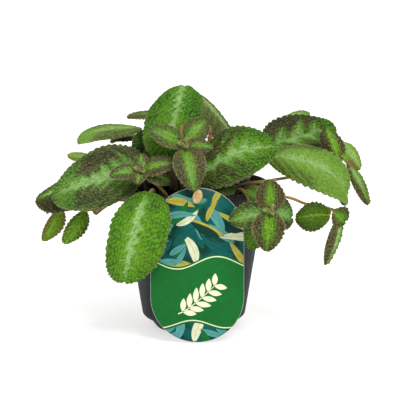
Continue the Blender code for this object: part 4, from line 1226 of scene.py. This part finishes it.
class VioletStageSettings(bpy.types.PropertyGroup):
    """Floor, lights and camera."""

    floor: colour_property("Floor", "Plain floor", (206, 206, 206))
    camera_distance: bpy.props.FloatProperty(
        name="Camera distance", description="From the camera to the point it aims at",
        default=2.6, unit="LENGTH")
    camera_height: bpy.props.FloatProperty(
        name="Camera elevation", description="Angle above the horizon",
        default=math.radians(11.5), subtype="ANGLE")
    lens: bpy.props.FloatProperty(
        name="Lens", description="Focal length in millimetres", default=292.5)


def leaf_materials(tones, palette):
    """The blade material of each tone, and the materials of down and of stalks."""
    made = {}
    for tone in tones:
        name = "leaf_" + tone
        made[tone] = bpy.data.materials.get(name) or leaf_material(name, TONES[tone], palette)
    hair = bpy.data.materials.get("leaf_down") or hair_material("leaf_down", palette)
    stalk = bpy.data.materials.get("stalk") or stalk_material("stalk", palette)
    return made, hair, stalk


def tone_finish(look, order):
    """Finish number of a look's tone in a sprig, whose hair and stalk have numbers 1 and 2."""
    tone = order.index(look.tone)
    return 2 + tone if tone else 0


def add_heart(sheaf, rosette, order, settings, seed):
    """The downy hub of a rosette, with tiny leaves folded upright round its middle."""
    points, faces = ball_points(rosette.centre, HUB_RADIUS, HUB_ROWS, HUB_COLUMNS)
    sheaf.add(points, faces, (0.8, 0.0, 0.5, 0.0), finish=2)
    rng = np.random.default_rng(seed)
    spots = rng.integers(0, HUB_ROWS * HUB_COLUMNS, HUB_HAIRS)
    outward = points[spots] - np.asarray(rosette.centre, float)
    outward = outward + rng.normal(0.0, 0.6, outward.shape)
    lengths = settings.hair_length / MM * rng.uniform(0.8, 1.8, HUB_HAIRS)
    add_hairs(sheaf, points[spots], outward, lengths, settings.hair_radius / MM)
    for index, tiny in enumerate(HEART_LEAFLETS):
        tiny = tiny._replace(angle=tiny.angle + HEART_TURN * (seed % 5))
        blade = leaflet_blade(rosette, tiny)
        add_blade(sheaf, blade, HEART, settings, seed + 40 + index, tone_finish(HEART, order))


def add_buds(sheaf, node, settings, seed):
    """A node's flower buds, each twice as long as wide on a thread-like stalk."""
    for index, (points, radius) in enumerate(BUDS.get(node, [])):
        path = smooth_path(points, TUBE_STEP)
        radii = np.linspace(*BUD_STALK_RADII, len(path))
        add_tube(sheaf, path, radii, settings, seed + 60 + index, BUD_STALK_TINT)
        points, faces = ball_points(path[-1], radius, 6, 10, BUD_STRETCH)
        sheaf.add(points, faces, (0.6, 0.0, 1.0, 0.0), finish=2)


def grow_leaf(node, leaf, settings, seed):
    """One large leaf on its own stalk."""
    tones, hair, stalk = leaf_materials([leaf.look.tone], settings)
    sheaf = Sheaf()
    add_blade(sheaf, leaf.blade, leaf.look, settings, seed)
    path = smooth_path(stalk_path(leaf), TUBE_STEP)
    thin = STALK_RADIUS * STALK_TAPER
    radii = np.linspace(STALK_RADIUS, thin, len(path))
    radii[-4:] = np.linspace(thin, STALK_END_RADIUS, 4)
    add_tube(sheaf, path, radii, settings, seed, STALK_TINT)
    add_buds(sheaf, node, settings, seed)
    name = node.replace("leaf_", "grown_leaf_")
    sheaf.piece(name, [tones[leaf.look.tone], hair, stalk], [node])


def grow_sprig(node, sprig, settings, seed):
    """One leafy stem with the blades on its joints and the leaflets of its rosettes."""
    looks = list(sprig.looks)
    for rosette in sprig.rosettes:
        looks += [leaflet.look or rosette.look for leaflet in rosette.leaflets] + [HEART]
    order = list(dict.fromkeys(look.tone for look in looks))
    tones, hair, stalk = leaf_materials(order, settings)
    sheaf = Sheaf()
    foot = (*sprig.stem[0][:2], ROOT_DEPTH_HEIGHT)
    path = smooth_path([foot] + sprig.stem, TUBE_STEP)
    thin = STALK_RADIUS * STEM_TAPER
    add_tube(sheaf, path, np.linspace(STALK_RADIUS, thin, len(path)), settings, seed, sprig.tint)
    for index, (blade, look) in enumerate(zip(sprig.blades, sprig.looks)):
        own = seed + 1 + index
        add_blade(sheaf, blade, look, settings, own, tone_finish(look, order))
        start = np.array(blade.midrib[0], float)
        joint = path[np.argmin(np.linalg.norm(path - start, axis=1))]
        route = smooth_path([joint, start, under_midrib(blade)[0]], JOINT_STEP)
        radii = np.linspace(thin, STALK_END_RADIUS, len(route))
        add_tube(sheaf, route, radii, settings, own, sprig.tint)
    for rosette in sprig.rosettes:
        add_heart(sheaf, rosette, order, settings, seed)
        for index, leaflet in enumerate(rosette.leaflets):
            look = leaflet.look or rosette.look
            add_blade(sheaf, leaflet_blade(rosette, leaflet), look, settings, seed + 5 + index,
                      tone_finish(look, order))
    add_buds(sheaf, node, settings, seed)
    materials = [tones[order[0]], hair, stalk] + [tones[tone] for tone in order[1:]]
    sheaf.piece("grown_" + node, materials, [node])


class VIOLET_OT_leaves(bpy.types.Operator):
    """Grow every large leaf on its stalk"""

    bl_idname = "flame_violet.leaves"
    bl_label = "Leaves"

    def execute(self, context):
        for number, (node, leaf) in enumerate(LEAVES.items()):
            grow_leaf(node, leaf, context.scene.violet_leaf, LEAF_SEED + number)
        return {"FINISHED"}


class VIOLET_OT_stems(bpy.types.Operator):
    """Grow every leafy stem with its leaflets and rosettes"""

    bl_idname = "flame_violet.stems"
    bl_label = "Leafy stems"

    def execute(self, context):
        for number, (node, sprig) in enumerate(SPRIGS.items()):
            seed = STEM_SEED + STEM_SEED_STEP * number
            grow_sprig(node, sprig, context.scene.violet_leaf, seed)
        return {"FINISHED"}


def rounded(profile, radius, steps=4):
    """A profile with each inner corner rounded by a short curve that cuts it off."""
    profile = np.asarray(profile, float)
    out = [profile[:1]]
    for before, corner, after in zip(profile[:-2], profile[1:-1], profile[2:]):
        back, ahead = before - corner, after - corner
        reach = min(radius, 0.45 * np.linalg.norm(back), 0.45 * np.linalg.norm(ahead))
        start = corner + unit(back) * reach
        end = corner + unit(ahead) * reach
        t = np.linspace(0.0, 1.0, steps)[:, None]
        out.append((1 - t) ** 2 * start + 2 * t * (1 - t) * corner + t ** 2 * end)
    return np.concatenate(out + [profile[-1:]])


def pot_profile():
    """The pot's section from the floor's middle inside, over the lip and down to the foot."""
    low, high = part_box("pot")
    height = high.z / MM
    rim = (high.x - low.x) / MM / 2
    lip_base = height - LIP_HEIGHT
    wall_base = SHOULDER_HEIGHT + SHOULDER_RISE
    inner_foot = FOOT_RADIUS - POT_WALL
    inside = [
        (0.0, FLOOR_THICKNESS), (inner_foot, FLOOR_THICKNESS),
        (inner_foot + FOOT_EDGE, FOOT_HEIGHT + 0.9),
        (SHOULDER_RADIUS - 4.0, FOOT_HEIGHT + 2.2),
        (wall_radius(wall_base) - POT_WALL, wall_base),
        (wall_radius(height) - POT_WALL, height)]
    outside = [
        (rim, height), (rim, lip_base - 0.2),
        (wall_radius(lip_base) + LIP_EDGE, lip_base - LIP_EDGE),
        (wall_radius(lip_base - 2.0), lip_base - 2.0),
        (SHOULDER_RADIUS, SHOULDER_HEIGHT + 0.6),
        (SHOULDER_RADIUS - 0.9, SHOULDER_HEIGHT - 0.6),
        (SHOULDER_RADIUS - 3.0, FOOT_HEIGHT + 1.0),
        (FOOT_RADIUS + 4.6, FOOT_HEIGHT - 0.2), (FOOT_RADIUS + 2.6, FOOT_HEIGHT - 3.2),
        (FOOT_RADIUS, FOOT_EDGE), (FOOT_RADIUS - FOOT_EDGE, 0.0), (0.0, 0.0)]
    return rounded(inside + outside, CORNER_REACH)


def pot_material(settings):
    """Dark thermoformed plastic with faint upright streaks, and peat dust on the lip."""
    shader = Shader("pot_plastic", 0.6, Specular_IOR_Level=0.12)
    streaks = shader.noise(260.0, 4.0, shader.place(stretch=(1.0, 1.0, 60.0)))
    mottle = shader.noise(60.0, 3.0)
    share = shader.times(shader.ease(streaks, 0.35, 0.7), 0.7)
    share = shader.math("ADD", share, shader.times(mottle, 0.25))
    shader.bump(streaks, 0.25, 0.0003)
    plastic = shader.mix(share, settings.plastic, settings.plastic_light)
    height = shader.split(shader.place())[2]
    dust = shader.times(shader.ease(height, DUST_FROM * MM, DUST_TO * MM),
                       shader.ease(shader.noise(420.0, 4.0), 0.36, 0.56))
    return shader.colour(shader.mix(dust, plastic, settings.dust))


def drain_drill():
    """One object with a short rod in the place of each drain hole, to be cut out of the pot."""
    rods = Sheaf()
    column = [(0.0, DRILL_TOP), (DRAIN_RADIUS, DRILL_TOP), (DRAIN_RADIUS, DRILL_BOTTOM),
              (0.0, DRILL_BOTTOM)]
    for index in range(DRAIN_HOLES):
        angle = math.tau * (index + 0.5) / DRAIN_HOLES
        points, faces = turned_points(column, DRILL_SIDES)
        place = DRAIN_RING_RADIUS * np.array([math.cos(angle), math.sin(angle), 0.0])
        rods.add(points + place, faces)
    mesh = bpy.data.meshes.new("drain_drill")
    mesh.from_pydata((np.concatenate(rods.points) * MM).tolist(), [], rods.faces)
    drill = bpy.data.objects.new("drain_drill", mesh)
    bpy.context.scene.collection.objects.link(drill)
    return drill


class VIOLET_OT_pot(bpy.types.Operator):
    """Turn the grower pot and drill its drain holes"""

    bl_idname = "flame_violet.pot"
    bl_label = "Grower pot"

    def execute(self, context):
        settings = context.scene.violet_pot
        sheaf = Sheaf()
        sheaf.add(*turned_points(pot_profile(), settings.steps))
        pot = sheaf.piece("grower_pot", [pot_material(settings)], ["pot"])
        drill = drain_drill()
        cut = pot.modifiers.new("Drain holes", "BOOLEAN")
        cut.operation = "DIFFERENCE"
        cut.object = drill
        graph = context.evaluated_depsgraph_get()
        mesh = bpy.data.meshes.new_from_object(pot.evaluated_get(graph))
        pot.modifiers.clear()
        pot.data = mesh
        mesh.set_sharp_from_angle(angle=SHARP_EDGE)
        bpy.data.objects.remove(drill, do_unlink=True)
        return {"FINISHED"}


def soil_material(settings):
    """Moist peat: dark, matt and crumbly with paler dry grains."""
    shader = Shader("soil", 0.95, Specular_IOR_Level=0.04)
    tone, _, _ = shader.split(shader.attribute("paint").outputs["Color"])
    grain = shader.noise(700.0, 6.0)
    share = shader.math("ADD", shader.ease(grain, 0.45, 0.8), tone)
    shader.bump(grain, 1.0, 0.001)
    return shader.colour(shader.mix(share, settings.soil, settings.soil_light))


def soil_surface(reach):
    """The soil as a turned profile whose top follows the mound with cell-like grit raised on it."""
    wall_base = SHOULDER_HEIGHT + SHOULDER_RISE
    inner_foot = FOOT_RADIUS - POT_WALL - CLEARANCE
    rings = [(reach * share, SOIL_EDGE_HEIGHT) for share in np.linspace(0.0, 1.0, SOIL_RINGS)]
    side = [(wall_radius(wall_base) - POT_WALL - CLEARANCE, wall_base),
            (SHOULDER_RADIUS - 5.2, SHOULDER_HEIGHT + 0.8),
            (inner_foot, FOOT_HEIGHT + 2.2), (inner_foot - FLOOR_THICKNESS, SOIL_FLOOR),
            (0.0, SOIL_FLOOR)]
    points, faces = turned_points(rings + side, SOIL_STEPS, flip=True)
    top = points[:, 2] > SOIL_EDGE_HEIGHT - 0.01
    x, y = points[top, 0], points[top, 1]
    near = cells(x / GRIT_SIZE, y / GRIT_SIZE, 5)[0]
    small = cells(x / FINE_GRIT_SIZE, y / FINE_GRIT_SIZE, 6)[0]
    edge = smooth(1.0, 0.93, np.hypot(x, y) / reach)
    grit = GRIT * (0.45 - near) + FINE_GRIT * (0.4 - small)
    points[top, 2] = soil_height(x, y) + grit * edge
    tone = np.zeros((len(points), 4))
    tone[top, 0] = 0.35 * smooth(0.25, 0.6, clouds(x / 7.0, y / 7.0, 8)) * smooth(0.6, 0.2, near)
    return points, faces, tone


def add_crumb(sheaf, reach, rng):
    """One loose crumb somewhere on the soil: a stretched ball with its points pushed about."""
    radius = reach * 0.96 * math.sqrt(rng.uniform())
    angle = rng.uniform(0.0, math.tau)
    x, y = radius * math.cos(angle), radius * math.sin(angle)
    size = rng.uniform(CRUMB_SMALLEST, CRUMB_LARGEST)
    stretch = rng.uniform(0.6, 1.3, 3)
    centre = (x, y, soil_height(np.array(x), np.array(y)) + 0.3 * size)
    points, faces = ball_points(centre, size, 3, 6, stretch)
    points += rng.normal(0.0, 0.12 * size, points.shape)
    sheaf.add(points, faces, (rng.uniform(-0.2, 0.6), 0.0, 0.5, 0.0))


class VIOLET_OT_soil(bpy.types.Operator):
    """Fill the pot with lumpy soil and scatter crumbs on it"""

    bl_idname = "flame_violet.soil"
    bl_label = "Potting soil"

    def execute(self, context):
        settings = context.scene.violet_pot
        rng = np.random.default_rng(SOIL_SEED)
        reach = wall_radius(SOIL_EDGE_HEIGHT) - POT_WALL - CLEARANCE
        sheaf = Sheaf()
        sheaf.add(*soil_surface(reach))
        for _ in range(settings.crumbs):
            add_crumb(sheaf, reach, rng)
        sheaf.piece("soil_bed", [soil_material(settings)], ["potting_soil"])
        return {"FINISHED"}


CardPlace = namedtuple("CardPlace", "middle radius bottom top height front back")


def card_place():
    """Where the solid card stands, in millimetres: its middle, half width and reach each way."""
    low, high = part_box("care_card")
    return CardPlace((high.x + low.x) / MM / 2, (high.x - low.x) / MM / 2, low.z / MM, high.z / MM,
                     (high.z - low.z) / MM, low.y / MM, high.y / MM)


def card_material(settings, card):
    """The card's ground of dark patches, with a plain field between two waves lined in cream.

    Each wave is a sine of x in millimetres, and the field fades in over its edge. Where the paint's
    red is high the card is bare stock.
    """
    shader = Shader("card_print", 0.4, Coat_Weight=0.04, Specular_IOR_Level=0.1)
    where = shader.place(centre=(card.middle * MM, 0.0, card.bottom * MM), stretch=(MM, MM, MM))
    x, _, z = shader.split(where)
    patches = shader.ease(shader.noise(0.05, 3.0, where), 0.35, 0.65)
    ground = shader.mix(patches, settings.pine, settings.teal)
    grain = shader.noise(0.35, 4.0, where)
    colour = shader.mix(shader.times(grain, 0.45), settings.field, settings.pine)
    for height, swing, pace, shift, way in FIELD_EDGES:
        wave = shader.math("SINE", shader.math("MULTIPLY_ADD", x, pace, shift))
        edge = shader.math("MULTIPLY_ADD", wave, swing, height)
        over = shader.times(shader.math("SUBTRACT", z, edge), way)
        colour = shader.mix(shader.ease(over, 0.2, -0.2), ground, colour)
        line = shader.math("ABSOLUTE", shader.math("ADD", over, CREAM_LINE_INSET))
        colour = shader.mix(shader.ease(line, *CREAM_LINE_EDGE), colour, settings.cream)
    stock, _, _ = shader.split(shader.attribute("paint").outputs["Color"])
    fibre = shader.mix(grain, CARD_STOCK, CARD_STOCK_LIGHT)
    return shader.colour(shader.mix(shader.ease(stock, 0.3, 0.6), colour, fibre))


def cream_ink(settings):
    """Ink of the drawn sprig, with slightly darker grains."""
    shader = Shader("card_ink", 0.35)
    return shader.colour(shader.mix(shader.noise(400.0, 3.0), settings.cream, INK_SHADE))


def leaf_ink(settings):
    """Ink of the printed leaves: each one's own painted colour, mottled with pine."""
    shader = Shader("card_leaf_ink", 0.4, Coat_Weight=0.04, Specular_IOR_Level=0.1)
    printed = shader.attribute("paint").outputs["Color"]
    mottle = shader.times(shader.noise(160.0, 4.0), 0.5)
    return shader.colour(shader.mix(mottle, printed, settings.pine))


def card_outline(card):
    """The card's edge as x and z, walked round from its lowest point: straight sides, round ends."""
    bottom, top = card.bottom + card.radius, card.top - card.radius
    angles = np.linspace(-0.5 * math.pi, 1.5 * math.pi, CARD_STEPS, endpoint=False)
    x = card.middle + card.radius * np.cos(angles)
    return x, card.radius * np.sin(angles) + np.where(np.sin(angles) > 0.0, top, bottom)


def flat_plate(x, z, front, back, edge):
    """A plate between two y values whose edge is rounded, as rings from back to front."""
    centre_x, centre_z = (x.max() + x.min()) / 2, (z.max() + z.min()) / 2
    out = unit(np.stack([x - centre_x, (z - centre_z)], axis=-1))
    deep = front - back
    depths = [back, back + 0.3 * deep, (front + back) / 2, front - 0.3 * deep, front]
    insets = [edge, 0.3 * edge, 0.0, 0.3 * edge, edge]
    rings = [np.stack([x - inset * out[:, 0], np.full(len(x), y), z - inset * out[:, 1]], axis=-1)
             for y, inset in zip(depths, insets)]
    poles = [[centre_x, back, centre_z], [centre_x, front, centre_z]]
    return np.concatenate(rings + [poles]), capped_faces(len(rings), len(x))


def ribbon(path, widths, front):
    """A flat stroke on the card: points to both sides of a path of x and z."""
    path = np.asarray(path, float)
    along = unit(np.gradient(path, axis=0))
    across = np.stack([-along[:, 1], along[:, 0]], axis=-1) * np.asarray(widths)[:, None] / 2
    left, right = path + across, path - across
    rows = np.stack([left, right], axis=1).reshape(-1, 2)
    points = np.stack([rows[:, 0], np.full(len(rows), front), rows[:, 1]], axis=-1)
    return points, [grid_faces(len(path), 2)]


def field_edge(x, edge):
    """Height of one of the plain field's wavy edges over the card's foot."""
    return edge.height + edge.swing * np.sin(edge.pace * x + edge.shift)


def inside_print(points, card, above):
    """Print points kept off the plain field, and off the card's rim by a margin."""
    x, z = points[:, 0] - card.middle, points[:, 2] - card.bottom
    if above:
        round_end = card.height - card.radius
        away = np.maximum(z, field_edge(x, FIELD_EDGES[0])) - round_end
        beyond = np.maximum(away, 0.0)
    else:
        round_end = card.radius
        away = np.minimum(z, field_edge(x, FIELD_EDGES[1])) - round_end
        beyond = np.minimum(away, 0.0)
    reach = np.maximum(np.hypot(x, beyond), 1e-6)
    shrink = np.minimum(1.0, (card.radius - PRINT_MARGIN) / reach)
    moved = round_end + (away - beyond) + beyond * shrink
    return np.stack([card.middle + x * shrink, points[:, 1], card.bottom + moved], axis=-1)


def printed_leaves(settings, card):
    """Pointed leaves that lie along a slow swirl: surfaces in layers, each with its colour."""
    rng = np.random.default_rng(PRINT_SEED)
    colours = [settings.teal, settings.aqua, settings.pine, settings.gold, settings.field,
               settings.aqua, settings.teal, settings.gold, settings.cream]
    columns, rows = np.meshgrid(np.arange(PRINT_COLUMNS), np.arange(PRINT_ROWS))
    places = np.stack([columns.ravel() / (PRINT_COLUMNS - 1) - 0.5, rows.ravel() / PRINT_ROWS],
                      axis=-1) * [2 * card.radius, card.height]
    places = places + rng.uniform(-PRINT_SCATTER, PRINT_SCATTER, (len(places), 2))
    t = np.linspace(0.0, 1.0, PRINT_LEAF_POINTS)
    gaps = PRINT_LEAF_POINTS - 1
    surfaces = []
    for layer, (x, z) in enumerate(places[rng.permutation(len(places))]):
        above = z > field_edge(x, FIELD_EDGES[0]) - 5.0
        below = z < field_edge(x, FIELD_EDGES[1]) + 3.0
        if not above and not below:
            continue
        colour = colours[rng.integers(len(colours))]
        turn = PRINT_LEAF_TURN + 1.1 * math.sin(x / 15.0) + 0.9 * math.cos(z / 13.0)
        turn = turn + rng.uniform(-0.5, 0.5) + rng.uniform(-1.2, 1.2) * (t - 0.5)
        length = rng.uniform(*PRINT_LEAF_LENGTHS)
        steps = np.stack([np.cos(turn), np.sin(turn)], axis=-1) * length / gaps
        start = np.array([card.middle + x, card.bottom + z])
        path = start + np.cumsum(steps, axis=0) - gaps / 2 * steps[:1]
        widths = rng.uniform(*PRINT_LEAF_WIDTHS) * np.sin(math.pi * t ** 0.8) ** 0.85
        deep = card.front - INK - layer * INK_LAYER
        for wide, shade, lift in ((widths, 1.0, 0.0),
                                  (PRINT_VEIN_WIDTH + 0.0 * t, PRINT_VEIN_SHADE, INK_LAYER / 2)):
            points, faces = ribbon(path, wide, deep - lift)
            paint = (*(shade * np.array(colour[:])), 1.0)
            surfaces.append((inside_print(points, card, above), faces, paint))
    return surfaces


def drawn_sprig(card):
    """Strokes of a sprig: a stem that bends as a power curve, and leaves that swell as a sine."""
    ink = card.front - INK
    along = np.linspace(0.0, 1.0, 30)
    stem = np.stack([card.middle + SPRIG_START[0] + SPRIG_REACH[0] * along,
                     SPRIG_START[1] + SPRIG_REACH[1] * along ** 1.3], axis=-1)
    strokes = [ribbon(stem, 0.9 - 0.4 * along, ink)]
    t = np.linspace(0.0, 1.0, 18)
    for share in np.linspace(0.12, 0.95, SPRIG_LEAVES):
        spot = np.array([np.interp(share, along, line) for line in stem.T])
        length = SPRIG_LEAF_LENGTH - 5.0 * abs(share - 0.45)
        for sign in (-1.0, 1.0):
            turn = math.radians(SPRIG_LEAF_TURN + sign * SPRIG_LEAF_SPREAD)
            reach = np.stack([np.cos(turn) * t, np.sin(turn) * t], axis=-1) * length
            strokes.append(ribbon(spot + reach, 0.3 + 4.2 * np.sin(math.pi * t) ** 0.9, ink))
    return strokes


class VIOLET_OT_card(bpy.types.Operator):
    """Cut the card and print scattered leaves and a plain sprig on it"""

    bl_idname = "flame_violet.card"
    bl_label = "Card"

    def execute(self, context):
        settings = context.scene.violet_card
        card = card_place()
        sheaf = Sheaf()
        points, faces = flat_plate(*card_outline(card), card.front, card.back, CARD_EDGE)
        stock = np.zeros((len(points), 4))
        stock[:, 0] = points[:, 1] > card.front + 0.05
        sheaf.add(points, faces, stock)
        for points, faces, paint in printed_leaves(settings, card):
            sheaf.add(points, faces, paint, finish=2)
        for points, faces in drawn_sprig(card):
            sheaf.add(points, faces, finish=1)
        materials = [card_material(settings, card), cream_ink(settings), leaf_ink(settings)]
        sheaf.piece("round_card", materials, ["care_card"])
        return {"FINISHED"}


def wood_material(settings):
    """Pale bare wood with oval growth rings on the head."""
    shader = Shader("pin_wood", 0.6)
    where = shader.place(
        centre=(PIN_X * MM, 0.0, PIN_HEAD_HEIGHT * MM), turn=(0.0, PIN_HEAD_LEAN, 0.0),
        stretch=(PIN_HEAD_WIDTH * MM / 2, PIN_HEAD_LENGTH * MM, PIN_HEAD_LENGTH * MM / 2))
    length = shader.tree.nodes.new("ShaderNodeVectorMath")
    length.operation = "LENGTH"
    shader.put(where, length.inputs[0])
    rough = shader.noise(500.0, 3.0)
    radius = shader.math("MULTIPLY_ADD", rough, 0.22, length.outputs["Value"])
    rings = shader.math("SINE", shader.times(radius, 17.0))
    share = shader.ease(rings, -0.2, 1.0)
    shader.bump(rings, 0.3, 0.0002)
    return shader.colour(shader.mix(share, settings.wood, settings.wood_ring))


def shank_tube(path):
    """A straight round rod along a path that runs back and down, closed at both ends."""
    tangent = unit(np.gradient(path, axis=0))
    first = np.broadcast_to(np.array([1.0, 0.0, 0.0]), tangent.shape)
    ring = circles(first, np.cross(tangent, first), PIN_SHANK_SIDES)
    points = (path[:, None, :] + PIN_SHANK_RADIUS * ring).reshape(-1, 3)
    return (np.concatenate([points, path[:1], path[-1:]]),
            capped_faces(len(path), PIN_SHANK_SIDES))


class VIOLET_OT_pin(bpy.types.Operator):
    """Make the wooden pin with its oval head"""

    bl_idname = "flame_violet.pin"
    bl_label = "Card pin"

    def execute(self, context):
        settings = context.scene.violet_card
        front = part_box("card_pin")[0].y / MM
        back = front + PIN_HEAD_THICKNESS
        angles = np.linspace(0.0, math.tau, PIN_HEAD_SIDES, endpoint=False)
        across = PIN_HEAD_WIDTH / 2 * np.cos(angles)
        upright = PIN_HEAD_LENGTH / 2 * np.sin(angles)
        lean = PIN_HEAD_LEAN
        x = PIN_X + across * math.cos(lean) + upright * math.sin(lean)
        z = PIN_HEAD_HEIGHT - across * math.sin(lean) + upright * math.cos(lean)
        sheaf = Sheaf()
        sheaf.add(*flat_plate(x, z, front, back, PIN_HEAD_EDGE))
        start = np.array([PIN_X, back - PIN_SHANK_INSET, PIN_HEAD_HEIGHT + PIN_SHANK_RISE])
        reach = PIN_SHANK_LENGTH * np.array(
            [0.0, math.cos(PIN_SHANK_SLOPE), -math.sin(PIN_SHANK_SLOPE)])
        path = start + np.linspace(0.0, 1.0, PIN_SHANK_STEPS)[:, None] * reach
        sheaf.add(*shank_tube(path))
        sheaf.piece("wooden_pin", [wood_material(settings)], ["card_pin"])
        return {"FINISHED"}


def lay_floor(settings):
    """A wide flat floor that glows a little, so that it stays pale and even."""
    reach = FLOOR_REACH
    mesh = bpy.data.meshes.new("stage_floor")
    corners = [(-reach, -reach, 0.0), (reach, -reach, 0.0), (reach, reach, 0.0),
               (-reach, reach, 0.0)]
    mesh.from_pydata(corners, [], [(0, 1, 2, 3)])
    paint = Shader("stage_floor", 0.9, Emission_Strength=FLOOR_GLOW, Emission_Color=WHITE)
    mesh.materials.append(paint.colour(settings.floor))
    floor = bpy.data.objects.new("stage_floor", mesh)
    bpy.context.scene.collection.objects.link(floor)


def add_soft_sun(name, height, turn, spread, strength):
    """A broad even light from far off, by its height and its turn from the front to the right."""
    data = bpy.data.lights.new(name, "SUN")
    data.angle = math.radians(spread)
    data.energy = strength
    light = bpy.data.objects.new(name, data)
    bpy.context.scene.collection.objects.link(light)
    light.rotation_euler = (math.radians(90.0 - height), 0.0, math.radians(turn))


def stand_camera(settings):
    """The camera straight in front, looking down at the point it aims at."""
    data = bpy.data.cameras.new("camera")
    data.sensor_width = SENSOR_WIDTH
    data.lens = settings.lens
    data.clip_end = VIEW_END
    camera = bpy.data.objects.new("camera", data)
    bpy.context.scene.collection.objects.link(camera)
    tilt = settings.camera_height
    away = np.array([0.0, -math.cos(tilt), math.sin(tilt)])
    camera.location = np.array(CAMERA_AIM) + settings.camera_distance * away
    camera.rotation_euler = (math.pi / 2 - tilt, 0.0, 0.0)
    bpy.context.scene.camera = camera


class VIOLET_OT_stage(bpy.types.Operator):
    """Lay the floor, set the lights and stand the camera at the photograph's angle"""

    bl_idname = "flame_violet.stage"
    bl_label = "Stage"

    def execute(self, context):
        settings = context.scene.violet_stage
        context.scene.view_settings.view_transform = "Standard"
        lay_floor(settings)
        world = bpy.data.worlds.new("studio")
        world.use_nodes = True
        background = world.node_tree.nodes["Background"]
        background.inputs["Color"].default_value = (*WHITE, 1.0)
        background.inputs["Strength"].default_value = STUDIO_LIGHT
        context.scene.world = world
        for sun in SUNS:
            add_soft_sun(*sun)
        stand_camera(settings)
        return {"FINISHED"}


class VIOLET_PT_panel(bpy.types.Panel):
    """Sizes, colours and pieces of the potted plant"""

    bl_idname = "VIOLET_PT_panel"
    bl_label = "Flame violet"
    bl_space_type = "VIEW_3D"
    bl_region_type = "UI"
    bl_category = "Flame violet"

    def draw(self, context):
        for operator in OPERATORS:
            self.layout.operator(operator.bl_idname)
        for name, group in SETTINGS.items():
            box = self.layout.box()
            settings = getattr(context.scene, name)
            for key in group.__annotations__:
                box.prop(settings, key)


SETTINGS = {
    "violet_pot": VioletPotSettings,
    "violet_card": VioletCardSettings,
    "violet_leaf": VioletLeafSettings,
    "violet_stage": VioletStageSettings,
}
OPERATORS = (VIOLET_OT_pot, VIOLET_OT_soil, VIOLET_OT_card, VIOLET_OT_pin, VIOLET_OT_leaves,
             VIOLET_OT_stems, VIOLET_OT_stage)


def register():
    """Register the settings, the operators and the panel."""
    for name, group in SETTINGS.items():
        bpy.utils.register_class(group)
        setattr(bpy.types.Scene, name, bpy.props.PointerProperty(type=group))
    for operator in OPERATORS:
        bpy.utils.register_class(operator)
    bpy.utils.register_class(VIOLET_PT_panel)


def unregister():
    """Take the panel, the operators and the settings away again."""
    bpy.utils.unregister_class(VIOLET_PT_panel)
    for operator in reversed(OPERATORS):
        bpy.utils.unregister_class(operator)
    for name, group in SETTINGS.items():
        delattr(bpy.types.Scene, name)
        bpy.utils.unregister_class(group)


def main():
    """Make every piece and the stage."""
    register()
    bpy.ops.flame_violet.pot()
    bpy.ops.flame_violet.soil()
    bpy.ops.flame_violet.card()
    bpy.ops.flame_violet.pin()
    bpy.ops.flame_violet.leaves()
    bpy.ops.flame_violet.stems()
    bpy.ops.flame_violet.stage()
    bpy.context.view_layer.update()


if __name__ == "__main__":
    main()
